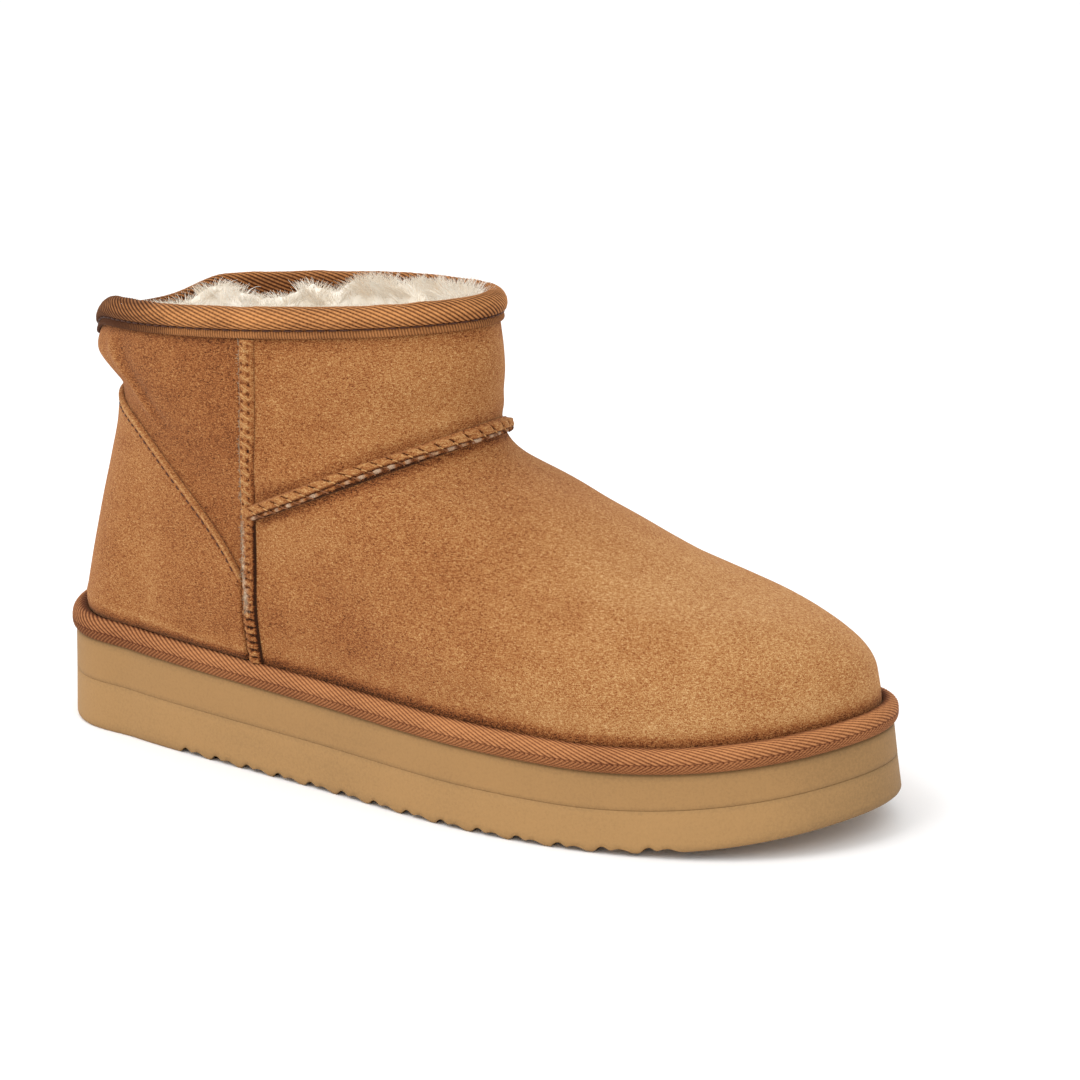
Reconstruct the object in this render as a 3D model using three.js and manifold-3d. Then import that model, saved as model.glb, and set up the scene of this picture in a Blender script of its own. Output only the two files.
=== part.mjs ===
// A sheepskin ankle boot for the right foot, standing empty on its sole.
// Millimetres. +X points to the toe, +Y to the inner (medial) side, +Z up, the ground is z = 0.
import * as THREE from "three";
import { mergeVertices } from "three/addons/utils/BufferGeometryUtils.js";
import Module from "manifold-3d";

const wasm = await Module();
wasm.setup();

// Driving dimensions of the sole
const HEEL_X = -138.6; // back of the sole
const TOE_X = 137; // front of the sole
const BALL_HALF_WIDTH = 54; // the widths in FOOT are shares of this
const TOE_SWING = 5.7; // how far the toe tip lies to the inner side
const HEEL_THICKNESS = 28.7; // whole sole, both foam layers
const TOE_THICKNESS = 20.7;
const TOE_SPRING = 10; // rise of the sole's underside at the toe tip
const SPRING_START_X = 61;
const HEEL_DRAFT = 0.5; // how far the sole's side leans in from bottom to top
const TOE_DRAFT = 2.7;
const PARTING = 0.55; // share of the thickness that belongs to the lower foam layer
const EDGE_ROUND = 1.4; // small round at the underside's edge
const TOP_EDGE = { share: 0.94, drop: 1.2, inset: 0.6 }; // small slope at the upper edge, under the piping

// Driving dimensions of the tread
const RIB_START_X = -78;
const RIB_PITCH = 12.55;
const RIB_COUNT = 14;
const RIB_LAND = 1.6; // flat tip of each main rib
const MAIN_GROOVE_DEPTH = 2.0;
const SMALL_GROOVE_DEPTH = 1.5;
const SMALL_RIB_LIFT = 0.8; // the small rib between two main ribs ends this far above the ground
const SMALL_RIB_X = 5.8; // and lies this far in front of the main rib's tip
const PAD = { x: 38, y: 0, halfLength: 17, halfWidth: 24 }; // smooth oval under the ball of the foot

// Driving dimensions of the upper and of what is sewn to it
const WALL = 2.5; // suede with its wool pressed flat
const GAP = 0.3; // clearance between pieces that touch
const COUNTER_THICKNESS = 1.2;
const SIDE_SEAM = { x: -54, z: 126, lean: 0.075, halfWidth: 2.5, thickness: 1.5 };
const SIDE_SEAM_TOP = 126.6;
const INSTEP_SEAM = { x: -46.9, z: 75.9, slope: 0.425, end: 60 }; // its lower edge, seen from the side
const INSTEP_STRIP = { low: 0, width: 5.2, thickness: 1.5 };
const INSTEP_RIDGE = { low: 0.6, width: 2.8, thickness: 2.9 };
const BINDING_DROP = 7.2; // how far the collar tape reaches down the outside
const BACK_TAB = { y: 4, top: 7, foot: 2, height: 6.5, thickness: 1.2 }; // top, foot: half widths
const PIPING_HEIGHT = 7.2;
const OVERLAY_FOOT = PIPING_HEIGHT + 0.7; // overlays start this far above the sole's top edge
const REACH = 80; // half length of the prisms that mark a region across the boot
const INSOLE_SHARE = 0.85; // insole thickness as a share of the upper's lowest band
const LOCKS = { count: 28, radius: 2.8, root: 1.6, rise: 3.4, extraRise: 1.6, lean: 1.2, rows: [-8, -10.6] };

// Where the bounding box is centred
const CENTRE_SHIFT = { x: 1.15, y: 1.3 };

// Mesh density
const AROUND = 48; // points around every ring, half of them on each side of the foot
const STEPS = 2; // bands between two rows of UPPER
const OUTLINE_SAMPLES = 480;

// Plan outline of the foot: half widths as shares of the ellipse that has the same length and width
const FOOT = [
  // along: 0 at the heel, 1 at the toe
  { along: 0.0, lateral: 1.26, medial: 1.1 },
  { along: 0.05, lateral: 1.235, medial: 1.18 },
  { along: 0.15, lateral: 0.945, medial: 1.02 },
  { along: 0.4, lateral: 0.86, medial: 0.72 },
  { along: 0.65, lateral: 1.05, medial: 0.96 },
  { along: 0.82, lateral: 1.17, medial: 1.12 },
  { along: 0.95, lateral: 1.24, medial: 1.2 },
  { along: 1.0, lateral: 1.15, medial: 1.2 },
];

// Sections of the upper from the sole to the collar, each a tilted ring.
// dip: how much of the sole's own curve the ring follows; oval: 0 is foot shaped, 1 an ellipse;
// sag: how far the ring hangs down at the back
const UPPER = [
  // back, backZ, front, frontZ, dip, half, oval, swing, offset, sag
  [-133.2, 29.0, 130.4, 31.0, 1, 49.0, 0, 5.7, 0, 0],
  [-132.8, 36.0, 130.5, 38.0, 1, 49.6, 0, 5.7, 0, 0],
  [-129.7, 52.0, 127.5, 49.2, 0.7, 49.9, 0.15, 5, 0, 0],
  [-127.1, 68.0, 115.2, 58.6, 0.35, 45.7, 0.4, 4, 0, 0],
  [-124.2, 83.0, 82.5, 66.0, 0.1, 42.5, 0.65, 3, 1, 0],
  [-121.8, 96.0, 43.0, 79.8, 0, 39.9, 0.85, 2, 2, 0],
  [-122.4, 107.0, 9.0, 95.5, 0, 38.3, 1, 1, 3, 0],
  [-132.0, 117.0, 7.8, 118.8, 0, 37.4, 1, 0, 4, 2],
  [-132.2, 129.5, 5.0, 139.0, 0, 36.1, 1, 0, 5, 4.8],
].map(([back, backZ, front, frontZ, dip, half, oval, swing, offset, sag]) => {
  return { back, backZ, front, frontZ, dip, half, oval, swing, offset, sag };
});
const SAG_PLACE = 0.52; // share of the way round where the collar hangs lowest
const SAG_WIDTH = 0.085;

// Top edge of the heel counter, seen from the side
const COUNTER_EDGE = [
  { x: -150, z: 106.5 },
  { x: -125, z: 104.5 },
  { x: -114, z: 101.7 },
  { x: -99, z: 96.0 },
  { x: -79, z: 82.8 },
  { x: -62, z: 69.5 },
  { x: -48, z: 54.5 },
];

// Section of the piping above the sole's top edge; out: beyond that edge, up: above it
const PIPING = [
  { out: 0.3, up: 0.35 },
  { out: 1.0, up: 1.4 },
  { out: 1.2, up: 3.2 },
  { out: 0.8, up: 5.2 },
  { out: -0.5, up: 6.7 },
  { out: -2.2, up: PIPING_HEIGHT },
];

// Section of the collar tape; out: from the suede's face, down: from the rim along the shaft
const BINDING = [
  { out: GAP, down: BINDING_DROP },
  { out: 1.3, down: BINDING_DROP },
  { out: 1.5, down: 5.2 },
  { out: 2.2, down: 4.6 },
  { out: 2.5, down: 2.6 },
  { out: 2.2, down: 0.3 },
  { out: 1.0, down: -1.4 },
  { out: -1.2, down: -1.9 },
  { out: -3.4, down: -0.9 },
  { out: -3.9, down: 1.2 },
  { out: -3.9, down: 6.0 },
  { out: -WALL - GAP, down: 6.0 },
  { out: -WALL - GAP, down: -GAP },
  { out: GAP, down: -GAP },
];

// Section of the wool inside the collar, in the same terms; below it the wool follows the wall
const LINING = [
  { out: -3.2, down: 7.8 },
  { out: -4.7, down: 7.2 },
  { out: -4.7, down: -0.4 },
  { out: -6.2, down: -2.6 },
  { out: -9.0, down: -2.8 },
  { out: -12.0, down: -0.6 },
  { out: -13.0, down: 4.0 },
];
const LINING_WALL = { out: -3.0, in: -12.0 };
const LINING_FOOT_ROW = 6; // the row of UPPER where the visible wool ends

// Curves

// Smooth value of one column of a table at a place along another column.
function smoothColumn(table, key, column, at) {
  let k = 0;
  while (k < table.length - 2 && at > table[k + 1][key]) k += 1;
  const slope = (i) => {
    const low = table[Math.max(i - 1, 0)];
    const high = table[Math.min(i + 1, table.length - 1)];
    return (high[column] - low[column]) / (high[key] - low[key]);
  };
  const h = table[k + 1][key] - table[k][key];
  const t = (at - table[k][key]) / h;
  const t2 = t * t;
  const t3 = t2 * t;
  return (
    (2 * t3 - 3 * t2 + 1) * table[k][column] +
    (t3 - 2 * t2 + t) * h * slope(k) +
    (3 * t2 - 2 * t3) * table[k + 1][column] +
    (t3 - t2) * h * slope(k + 1)
  );
}

// Rise of the sole's underside above the ground.
function springRise(x) {
  const t = Math.max(x - SPRING_START_X, 0) / (TOE_X - SPRING_START_X);
  return TOE_SPRING * t * t;
}

function soleShare(x) {
  return (x - HEEL_X) / (TOE_X - HEEL_X);
}

function soleThickness(x) {
  return THREE.MathUtils.lerp(HEEL_THICKNESS, TOE_THICKNESS, soleShare(x));
}

function soleTop(x) {
  return soleThickness(x) + springRise(x);
}

// The points of a closed plan outline, toe tip first, then the outer side, the heel and the inner side.
// Each side has the same number of points, evenly spaced.
function planOutline({ back, front, half, oval = 0, swing = TOE_SWING, offset = 0 }) {
  const raw = [];
  for (let i = 0; i <= OUTLINE_SAMPLES; i += 1) {
    const angle = (2 * Math.PI * i) / OUTLINE_SAMPLES;
    const along = (1 + Math.cos(angle)) / 2;
    const side = Math.sin(angle) >= 0 ? "lateral" : "medial";
    const share = THREE.MathUtils.lerp(smoothColumn(FOOT, "along", side, along), 1, oval);
    const middle = offset + swing * Math.max(2 * along - 1, 0) ** 2;
    raw.push(new THREE.Vector2(back + (front - back) * along, middle - Math.sin(angle) * share * half));
  }
  const heel = OUTLINE_SAMPLES / 2;
  return [...evenPoints(raw.slice(0, heel + 1)), ...evenPoints(raw.slice(heel))];
}

// Half of AROUND points, evenly spaced along an open line, without its last end.
function evenPoints(line) {
  const reach = [0];
  for (let i = 1; i < line.length; i += 1) reach.push(reach[i - 1] + line[i].distanceTo(line[i - 1]));
  const points = [];
  let k = 0;
  for (let i = 0; i < AROUND / 2; i += 1) {
    const goal = (reach[reach.length - 1] * i) / (AROUND / 2);
    while (reach[k + 1] < goal) k += 1;
    const t = (goal - reach[k]) / (reach[k + 1] - reach[k]);
    points.push(line[k].clone().lerp(line[k + 1], t));
  }
  return points;
}

// The upper's own surface

// One tilted ring of the upper.
function sectionRing(row) {
  return planOutline(row).map(({ x, y }, j) => {
    const t = (x - row.back) / (row.front - row.back);
    const chord = THREE.MathUtils.lerp(soleTop(HEEL_X), soleTop(TOE_X), soleShare(x));
    const curve = row.dip * (soleTop(x) - chord);
    const sag = row.sag * Math.exp(-(((j / AROUND - SAG_PLACE) / SAG_WIDTH) ** 2));
    return new THREE.Vector3(x, y, THREE.MathUtils.lerp(row.backZ, row.frontZ, t) + curve - sag);
  });
}

// Rings from the sole to the collar: the sections, joined point by point with smooth curves.
function surfaceRings() {
  const sections = UPPER.map(sectionRing);
  const columns = sections[0].map((_, j) => {
    const curve = new THREE.CatmullRomCurve3(sections.map((ring) => ring[j]), false, "centripetal");
    const last = (UPPER.length - 1) * STEPS;
    return Array.from({ length: last + 1 }, (_, i) => curve.getPoint(i / last));
  });
  return columns[0].map((_, i) => columns.map((column) => column[i]));
}

const SURFACE = surfaceRings();
const RIM = SURFACE.length - 1;

// Outward direction at every point of the surface; level at the sole.
const NORMALS = SURFACE.map((ring, i) =>
  ring.map((_, j) => {
    const around = ring[(j + 1) % AROUND].clone().sub(ring[(j + AROUND - 1) % AROUND]);
    const up = SURFACE[Math.min(i + 1, RIM)][j].clone().sub(SURFACE[Math.max(i - 1, 0)][j]);
    const normal = up.cross(around);
    if (i === 0) normal.z = 0;
    return normal.normalize();
  }),
);

// A point on column j of the surface, by ring number with a fraction, moved out by a distance.
function surfacePoint(level, j, out) {
  const i = THREE.MathUtils.clamp(Math.floor(level), 0, RIM - 1);
  const point = SURFACE[i][j].clone().lerp(SURFACE[i + 1][j], level - i);
  const normal = NORMALS[i][j].clone().lerp(NORMALS[i + 1][j], THREE.MathUtils.clamp(level - i, 0, 1));
  return point.addScaledVector(normal.normalize(), out);
}

// The ring number that lies a distance down from the rim on column j; negative distances lie above it.
function levelBelowRim(down, j) {
  let left = down;
  for (let i = RIM; i > 0; i -= 1) {
    const band = SURFACE[i][j].distanceTo(SURFACE[i - 1][j]);
    if (left <= band) return i - left / band;
    left -= band;
  }
  return 0;
}

function ringAt(level, out) {
  return SURFACE[0].map((_, j) => surfacePoint(level, j, out));
}

function ringBelowRim(down, out) {
  return SURFACE[0].map((_, j) => surfacePoint(levelBelowRim(down, j), j, out));
}

// A ring on the sole: inset from its edge by a distance, at a height given by a function of x.
function soleRing(draftShare, inset, height) {
  const heelInset = HEEL_DRAFT * draftShare + inset;
  const toeInset = TOE_DRAFT * draftShare + inset;
  const outline = planOutline({
    back: HEEL_X + heelInset,
    front: TOE_X - toeInset,
    half: BALL_HALF_WIDTH - (heelInset + toeInset) / 2,
  });
  return outline.map(({ x, y }) => new THREE.Vector3(x, y, height(x)));
}

// Closed meshes

// Triangles between rings of AROUND points. A loop joins the last ring to the first;
// otherwise both ends are closed by rungs from one side of the foot to the other.
function loft(rings, loop = false) {
  const faces = [];
  const bands = loop ? rings.length : rings.length - 1;
  for (let i = 0; i < bands; i += 1) {
    for (let j = 0; j < AROUND; j += 1) {
      const a = i * AROUND + j;
      const b = i * AROUND + ((j + 1) % AROUND);
      const c = ((i + 1) % rings.length) * AROUND + j;
      const d = ((i + 1) % rings.length) * AROUND + ((j + 1) % AROUND);
      faces.push([a, c, d], [a, d, b]);
    }
  }
  if (!loop) {
    const top = (rings.length - 1) * AROUND;
    for (const [a, b, c] of rungs()) {
      faces.push([a, b, c], [top + a, top + c, top + b]);
    }
  }
  return closedGeometry(rings.flat(), faces);
}

// Triangles that fill a ring, in the ring's own numbering.
function rungs() {
  const half = AROUND / 2;
  const faces = [[0, 1, AROUND - 1]];
  for (let j = 1; j < half - 1; j += 1) {
    faces.push([j, j + 1, AROUND - j], [j + 1, AROUND - j - 1, AROUND - j]);
  }
  faces.push([half - 1, half, half + 1]);
  return faces;
}

// A geometry from points and faces, turned so that its faces point out.
function closedGeometry(points, faces) {
  let volume = 0;
  for (const [a, b, c] of faces) volume += points[a].dot(points[b].clone().cross(points[c]));
  const turned = volume < 0 ? faces.map(([a, b, c]) => [a, c, b]) : faces;
  const geometry = new THREE.BufferGeometry().setFromPoints(points);
  geometry.setIndex(turned.flat());
  return geometry;
}

// A straight prism: an outline in the XZ plane, run along Y between two values.
function sidePrism(outline, fromY, toY) {
  const shape = new THREE.Shape(outline.map(([x, z]) => new THREE.Vector2(x, z)));
  const prism = new THREE.ExtrudeGeometry(shape, { depth: toY - fromY, bevelEnabled: false });
  return prism.rotateX(Math.PI / 2).translate(0, toY, 0);
}

function solid(geometry) {
  const bare = geometry.clone().deleteAttribute("normal").deleteAttribute("uv");
  const merged = mergeVertices(bare, 1e-4);
  return new wasm.Manifold(
    new wasm.Mesh({
      numProp: 3,
      vertProperties: merged.attributes.position.array,
      triVerts: new Uint32Array(merged.index.array),
    }),
  );
}

function geometryOf(body) {
  const { vertProperties, triVerts } = body.getMesh();
  const geometry = new THREE.BufferGeometry();
  geometry.setAttribute("position", new THREE.BufferAttribute(new Float32Array(vertProperties), 3));
  geometry.setIndex(new THREE.BufferAttribute(new Uint32Array(triVerts), 1));
  return geometry;
}

// The space inside the upper's surface moved out by a distance.
function formSolid(out) {
  return solid(loft(Array.from({ length: SURFACE.length }, (_, i) => ringAt(i, out))));
}

// What lies on the upper, from the clearance to a thickness, inside a region.
function overlay(thickness, region) {
  return formSolid(GAP + thickness).subtract(formSolid(GAP)).intersect(solid(region));
}

// Pieces of the sole

function parting(x) {
  return springRise(x) + soleThickness(x) * PARTING;
}

// One cutter for each main groove and the small groove in front of it.
function grooveCutter(x0) {
  const arcSteps = 4;
  const start = x0 + RIB_LAND / 2;
  const middle = x0 + SMALL_RIB_X;
  const end = x0 + RIB_PITCH - RIB_LAND / 2;
  const arc = (from, to, low, high, depth) =>
    Array.from({ length: arcSteps + 1 }, (_, i) => {
      const t = i / arcSteps;
      const x = THREE.MathUtils.lerp(from, to, t);
      return [x, THREE.MathUtils.lerp(low, high, t) + depth * Math.sin(Math.PI * t) + springRise(x)];
    });
  const first = arc(start, middle, -0.2, SMALL_RIB_LIFT, MAIN_GROOVE_DEPTH - SMALL_RIB_LIFT / 2);
  const second = arc(middle, end, SMALL_RIB_LIFT, -0.2, SMALL_GROOVE_DEPTH - SMALL_RIB_LIFT / 2);
  const below = springRise(end) - 2;
  return [[start, below], ...first, ...second.slice(1), [end, below]];
}

function treadCutter() {
  const reach = BALL_HALF_WIDTH + 20;
  const cutters = Array.from({ length: RIB_COUNT }, (_, i) =>
    solid(sidePrism(grooveCutter(RIB_START_X + i * RIB_PITCH), -reach, reach)),
  );
  const comb = cutters.reduce((whole, cutter) => whole.add(cutter));
  const oval = new THREE.Shape().absellipse(PAD.x, PAD.y, PAD.halfLength, PAD.halfWidth, 0, 2 * Math.PI);
  const pad = new THREE.ExtrudeGeometry(oval, { depth: 12, bevelEnabled: false, curveSegments: 8 });
  return comb.subtract(solid(pad.translate(0, 0, -6)));
}

function makeOutsole() {
  const block = loft([
    soleRing(0, EDGE_ROUND, springRise),
    soleRing(0, EDGE_ROUND * 0.3, (x) => springRise(x) + EDGE_ROUND * 0.3),
    soleRing(0, 0, (x) => springRise(x) + EDGE_ROUND),
    soleRing(PARTING, 0, (x) => parting(x) - GAP / 2),
  ]);
  return geometryOf(solid(block).subtract(treadCutter()));
}

function makeMidsole() {
  return loft([
    soleRing(PARTING, 0, (x) => parting(x) + GAP / 2),
    soleRing(TOP_EDGE.share, 0, (x) => soleTop(x) - TOP_EDGE.drop),
    soleRing(1, TOP_EDGE.inset, soleTop),
  ]);
}

function makePiping() {
  const outer = PIPING.map(({ out, up }) => soleRing(1, -out, (x) => soleTop(x) + up));
  return loft([ringAt(0, GAP + 0.1), ...outer, ringAt(STEPS * 0.96, GAP + 0.1)], true);
}

function makeInsole() {
  return loft([ringAt(0, -WALL - GAP), ringAt(INSOLE_SHARE * STEPS, -WALL - GAP)]);
}

// Pieces of the upper

function makeUpper() {
  const levels = Array.from({ length: SURFACE.length }, (_, i) => i);
  const outer = levels.map((i) => ringAt(i, 0));
  const inner = levels.map((i) => ringAt(i, -WALL)).reverse();
  return loft([...outer, ...inner], true);
}

function sideSeamX(z) {
  return SIDE_SEAM.x + (SIDE_SEAM.z - z) * SIDE_SEAM.lean;
}

function makeHeelCounter() {
  const edge = SIDE_SEAM.halfWidth + GAP;
  const floor = (x) => soleTop(x) + OVERLAY_FOOT;
  const top = COUNTER_EDGE.filter(({ x, z }) => x < sideSeamX(z) - edge);
  const lowX = sideSeamX(floor(SIDE_SEAM.x)) - edge;
  // The counter's edge meets the side seam a little above its last row.
  const meetZ = smoothColumn(COUNTER_EDGE, "x", "z", lowX - 1.8);
  const meetX = sideSeamX(meetZ) - edge;
  const region = [
    [-150, floor(-150)],
    [lowX, floor(lowX)],
    [meetX, meetZ],
    ...top.map(({ x, z }) => [x, z]).reverse(),
  ];
  return geometryOf(overlay(COUNTER_THICKNESS, sidePrism(region, -REACH, REACH)));
}

function makeSideSeam(side) {
  const low = soleTop(SIDE_SEAM.x) + OVERLAY_FOOT;
  const high = SIDE_SEAM_TOP;
  const region = [
    [sideSeamX(low) - SIDE_SEAM.halfWidth, low],
    [sideSeamX(low) + SIDE_SEAM.halfWidth, low],
    [sideSeamX(high) + SIDE_SEAM.halfWidth, high],
    [sideSeamX(high) - SIDE_SEAM.halfWidth, high],
  ];
  const middle = UPPER[UPPER.length - 1].offset;
  const [from, to] = side > 0 ? [middle, REACH] : [-REACH, middle];
  return geometryOf(overlay(SIDE_SEAM.thickness, sidePrism(region, from, to)));
}

// A slanted band seen from the side, from the side seam to past the front of the boot.
function instepBand({ low, width }) {
  const line = (x, up) => INSTEP_SEAM.z + (x - INSTEP_SEAM.x) * INSTEP_SEAM.slope + low + up;
  const start = sideSeamX(INSTEP_SEAM.z) + SIDE_SEAM.halfWidth + GAP;
  const end = INSTEP_SEAM.end;
  const outline = [
    [start + 0.4, line(start, 0)],
    [end, line(end, 0)],
    [end, line(end, width)],
    [start + 0.1, line(start, width)],
  ];
  return sidePrism(outline, -REACH, REACH);
}

function makeInstepSeam() {
  const strip = overlay(INSTEP_STRIP.thickness, instepBand(INSTEP_STRIP));
  const ridge = overlay(INSTEP_RIDGE.thickness, instepBand(INSTEP_RIDGE));
  return geometryOf(strip.add(ridge));
}

function makeCollarBinding() {
  return loft(BINDING.map(({ out, down }) => ringBelowRim(down, out)), true);
}

// A short pointed tab below the binding at the centre of the back, seen from behind.
function makeBackTab() {
  const rim = UPPER[UPPER.length - 1];
  const top = rim.backZ - rim.sag - BINDING_DROP - 0.6;
  const region = [
    [BACK_TAB.y - BACK_TAB.top, top],
    [BACK_TAB.y - BACK_TAB.foot, top - BACK_TAB.height],
    [BACK_TAB.y + BACK_TAB.foot, top - BACK_TAB.height],
    [BACK_TAB.y + BACK_TAB.top, top],
  ];
  const prism = sidePrism(region, 0, REACH).rotateZ(Math.PI / 2).translate(-REACH, 0, 0);
  return geometryOf(overlay(BACK_TAB.thickness, prism));
}

// Wool

// One lock of wool: a leaning five-sided cone on the lining's top.
function lock(index) {
  const place = (index * AROUND) / LOCKS.count;
  const j = Math.floor(place) % AROUND;
  const beside = (j + 1) % AROUND;
  const inward = LOCKS.rows[index % LOCKS.rows.length];
  const rise = LOCKS.rise + LOCKS.extraRise * Math.sin(index * 2.4) ** 2;
  const base = surfacePoint(levelBelowRim(LOCKS.root, j), j, inward);
  const tip = surfacePoint(levelBelowRim(-rise, j), j, inward + LOCKS.lean * Math.sin(index * 1.7));
  const next = surfacePoint(levelBelowRim(LOCKS.root, beside), beside, inward);
  const slide = next.sub(base).multiplyScalar(place - Math.floor(place));
  const axis = tip.clone().sub(base);
  const cone = new THREE.ConeGeometry(LOCKS.radius, axis.length(), 5).translate(0, axis.length() / 2, 0);
  const turn = new THREE.Quaternion().setFromUnitVectors(new THREE.Vector3(0, 1, 0), axis.normalize());
  return cone.applyQuaternion(turn).translate(base.x + slide.x, base.y + slide.y, base.z + slide.z);
}

function makeShearlingLining() {
  const foot = LINING_FOOT_ROW * STEPS;
  const wallLevels = [foot, foot + 1, foot + 2];
  const outside = wallLevels.map((level) => ringAt(level, LINING_WALL.out));
  const top = LINING.map(({ out, down }) => ringBelowRim(down, out));
  const inside = wallLevels.map((level) => ringAt(level, LINING_WALL.in)).reverse();
  let wool = solid(loft([...outside, ...top, ...inside], true));
  for (let i = 0; i < LOCKS.count; i += 1) wool = wool.add(solid(lock(i)));
  return geometryOf(wool);
}

// Assembly

const MATERIALS = {
  suede: { color: 0xa5693a, roughness: 0.95, metalness: 0 },
  twill: { color: 0x8a5231, roughness: 0.85, metalness: 0 },
  foam_upper: { color: 0xb9905c, roughness: 0.8, metalness: 0 },
  foam_lower: { color: 0xbb9165, roughness: 0.8, metalness: 0 },
  wool: { color: 0xf0e4cf, roughness: 1, metalness: 0 },
};

const PIECES = [
  { name: "outsole", material: "foam_lower", geometry: makeOutsole() },
  { name: "midsole", material: "foam_upper", geometry: makeMidsole() },
  { name: "welt_piping", material: "twill", geometry: makePiping() },
  { name: "insole", material: "wool", geometry: makeInsole() },
  { name: "upper", material: "suede", geometry: makeUpper() },
  { name: "heel_counter", material: "suede", geometry: makeHeelCounter() },
  { name: "side_seam_lateral", material: "suede", geometry: makeSideSeam(-1) },
  { name: "side_seam_medial", material: "suede", geometry: makeSideSeam(1) },
  { name: "instep_seam", material: "suede", geometry: makeInstepSeam() },
  { name: "collar_binding", material: "twill", geometry: makeCollarBinding() },
  { name: "back_tab", material: "twill", geometry: makeBackTab() },
  { name: "shearling_lining", material: "wool", geometry: makeShearlingLining() },
];

const boot = new THREE.Group();
boot.position.set(CENTRE_SHIFT.x, CENTRE_SHIFT.y, 0);
for (const { name, material, geometry } of PIECES) {
  const mesh = new THREE.Mesh(geometry, new THREE.MeshStandardMaterial(MATERIALS[material]));
  mesh.name = name;
  boot.add(mesh);
}

export default boot;
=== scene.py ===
import math

import bpy
import numpy as np
from mathutils import Matrix, Vector


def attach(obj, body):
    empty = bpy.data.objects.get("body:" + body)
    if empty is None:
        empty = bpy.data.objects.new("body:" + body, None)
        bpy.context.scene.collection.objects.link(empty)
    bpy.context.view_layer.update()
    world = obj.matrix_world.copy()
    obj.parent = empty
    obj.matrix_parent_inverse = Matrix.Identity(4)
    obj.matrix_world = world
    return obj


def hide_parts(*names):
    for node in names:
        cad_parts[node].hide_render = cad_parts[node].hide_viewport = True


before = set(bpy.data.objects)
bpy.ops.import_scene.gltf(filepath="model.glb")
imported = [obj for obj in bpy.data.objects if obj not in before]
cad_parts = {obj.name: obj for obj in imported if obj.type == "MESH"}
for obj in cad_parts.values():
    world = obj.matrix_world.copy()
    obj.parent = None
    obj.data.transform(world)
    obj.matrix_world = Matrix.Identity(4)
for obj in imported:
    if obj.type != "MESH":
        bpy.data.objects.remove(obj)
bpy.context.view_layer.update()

MM = 0.001
CENTRE_SHIFT = np.array([1.15, 1.3, 0.0])
GAP = 0.3

# Sole
HEEL_X = -138.6
TOE_X = 137.0
BALL_HALF_WIDTH = 54.0
TOE_SWING = 5.7
HEEL_THICKNESS = 28.7
TOE_THICKNESS = 20.7
TOE_SPRING = 10.0
SPRING_START_X = 61.0
HEEL_DRAFT = 0.5
TOE_DRAFT = 2.7
PARTING = 0.55
EDGE_ROUND = 1.4
# Painted shade on the foam round the toe, where it turns away from the light
TOE_SHADE = (112.0, 136.0)  # x between which the foam grows darker

# Tread
RIB_START_X = -78.0
RIB_PITCH = 12.55
RIB_COUNT = 14
RIB_LAND = 1.6
MAIN_GROOVE_DEPTH = 2.0
SMALL_GROOVE_DEPTH = 1.5
SMALL_RIB_LIFT = 0.8
SMALL_RIB_X = 5.8
PAD_X = 38.0
PAD_HALF_LENGTH = 17.0
PAD_HALF_WIDTH = 24.0

# Upper and what is sewn to it
WALL = 2.5
SEWN_GAP = 0.1  # between a sewn piece and the suede under it
COUNTER_THICKNESS = 1.2
COUNTER_STITCH_PITCH = 2.9
COUNTER_STITCH_LENGTH = 1.5
SEAM_X = -54.0
SEAM_Z = 126.0
SEAM_LEAN = 0.075
SEAM_HALF_WIDTH = 2.5
INSTEP_X = -46.9
INSTEP_Z = 75.9
INSTEP_SLOPE = 0.425
INSTEP_WIDTH = 5.2
SLOT_PITCH = 4.6  # between the stitches across the instep band
HOLE_PITCH = 2.75  # between the holes of a side seam, above the instep
ROPE_PITCH = 2.3  # between the cuts in a side seam, below the instep
TAPE_DROP = 7.2
STRIP_TOP = 4.8  # where the tape's flat strip meets its roll, below the rim
SEEN_TAPE = 21.0  # along the tape's section, from its lower edge to inside the collar
TAPE_STITCHES = 98
TAPE_STITCH_LENGTH = 2.5
COLLAR_LENGTH = 265.0  # round the foot at the collar
PIPING_HEIGHT = 7.2
OVERLAY_FOOT = PIPING_HEIGHT + 0.2
INSOLE_TOP = 0.85

# Mesh density of the reference form
OUTLINE_SAMPLES = 4096
FORM_AROUND = 2048
FORM_LEVELS = 257


def table(names, *rows):
    """Rows of numbers as named columns."""
    return {name: np.array(column, float) for name, column in zip(names.split(), zip(*rows))}


# Plan outline of the foot: half widths as shares of the ellipse with the same length and width
FOOT = table(
    "along lateral medial",
    (0.0, 1.26, 1.1),
    (0.05, 1.235, 1.18),
    (0.15, 0.945, 1.02),
    (0.4, 0.86, 0.72),
    (0.65, 1.05, 0.96),
    (0.82, 1.17, 1.12),
    (0.95, 1.24, 1.2),
    (1.0, 1.15, 1.2),
)

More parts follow.
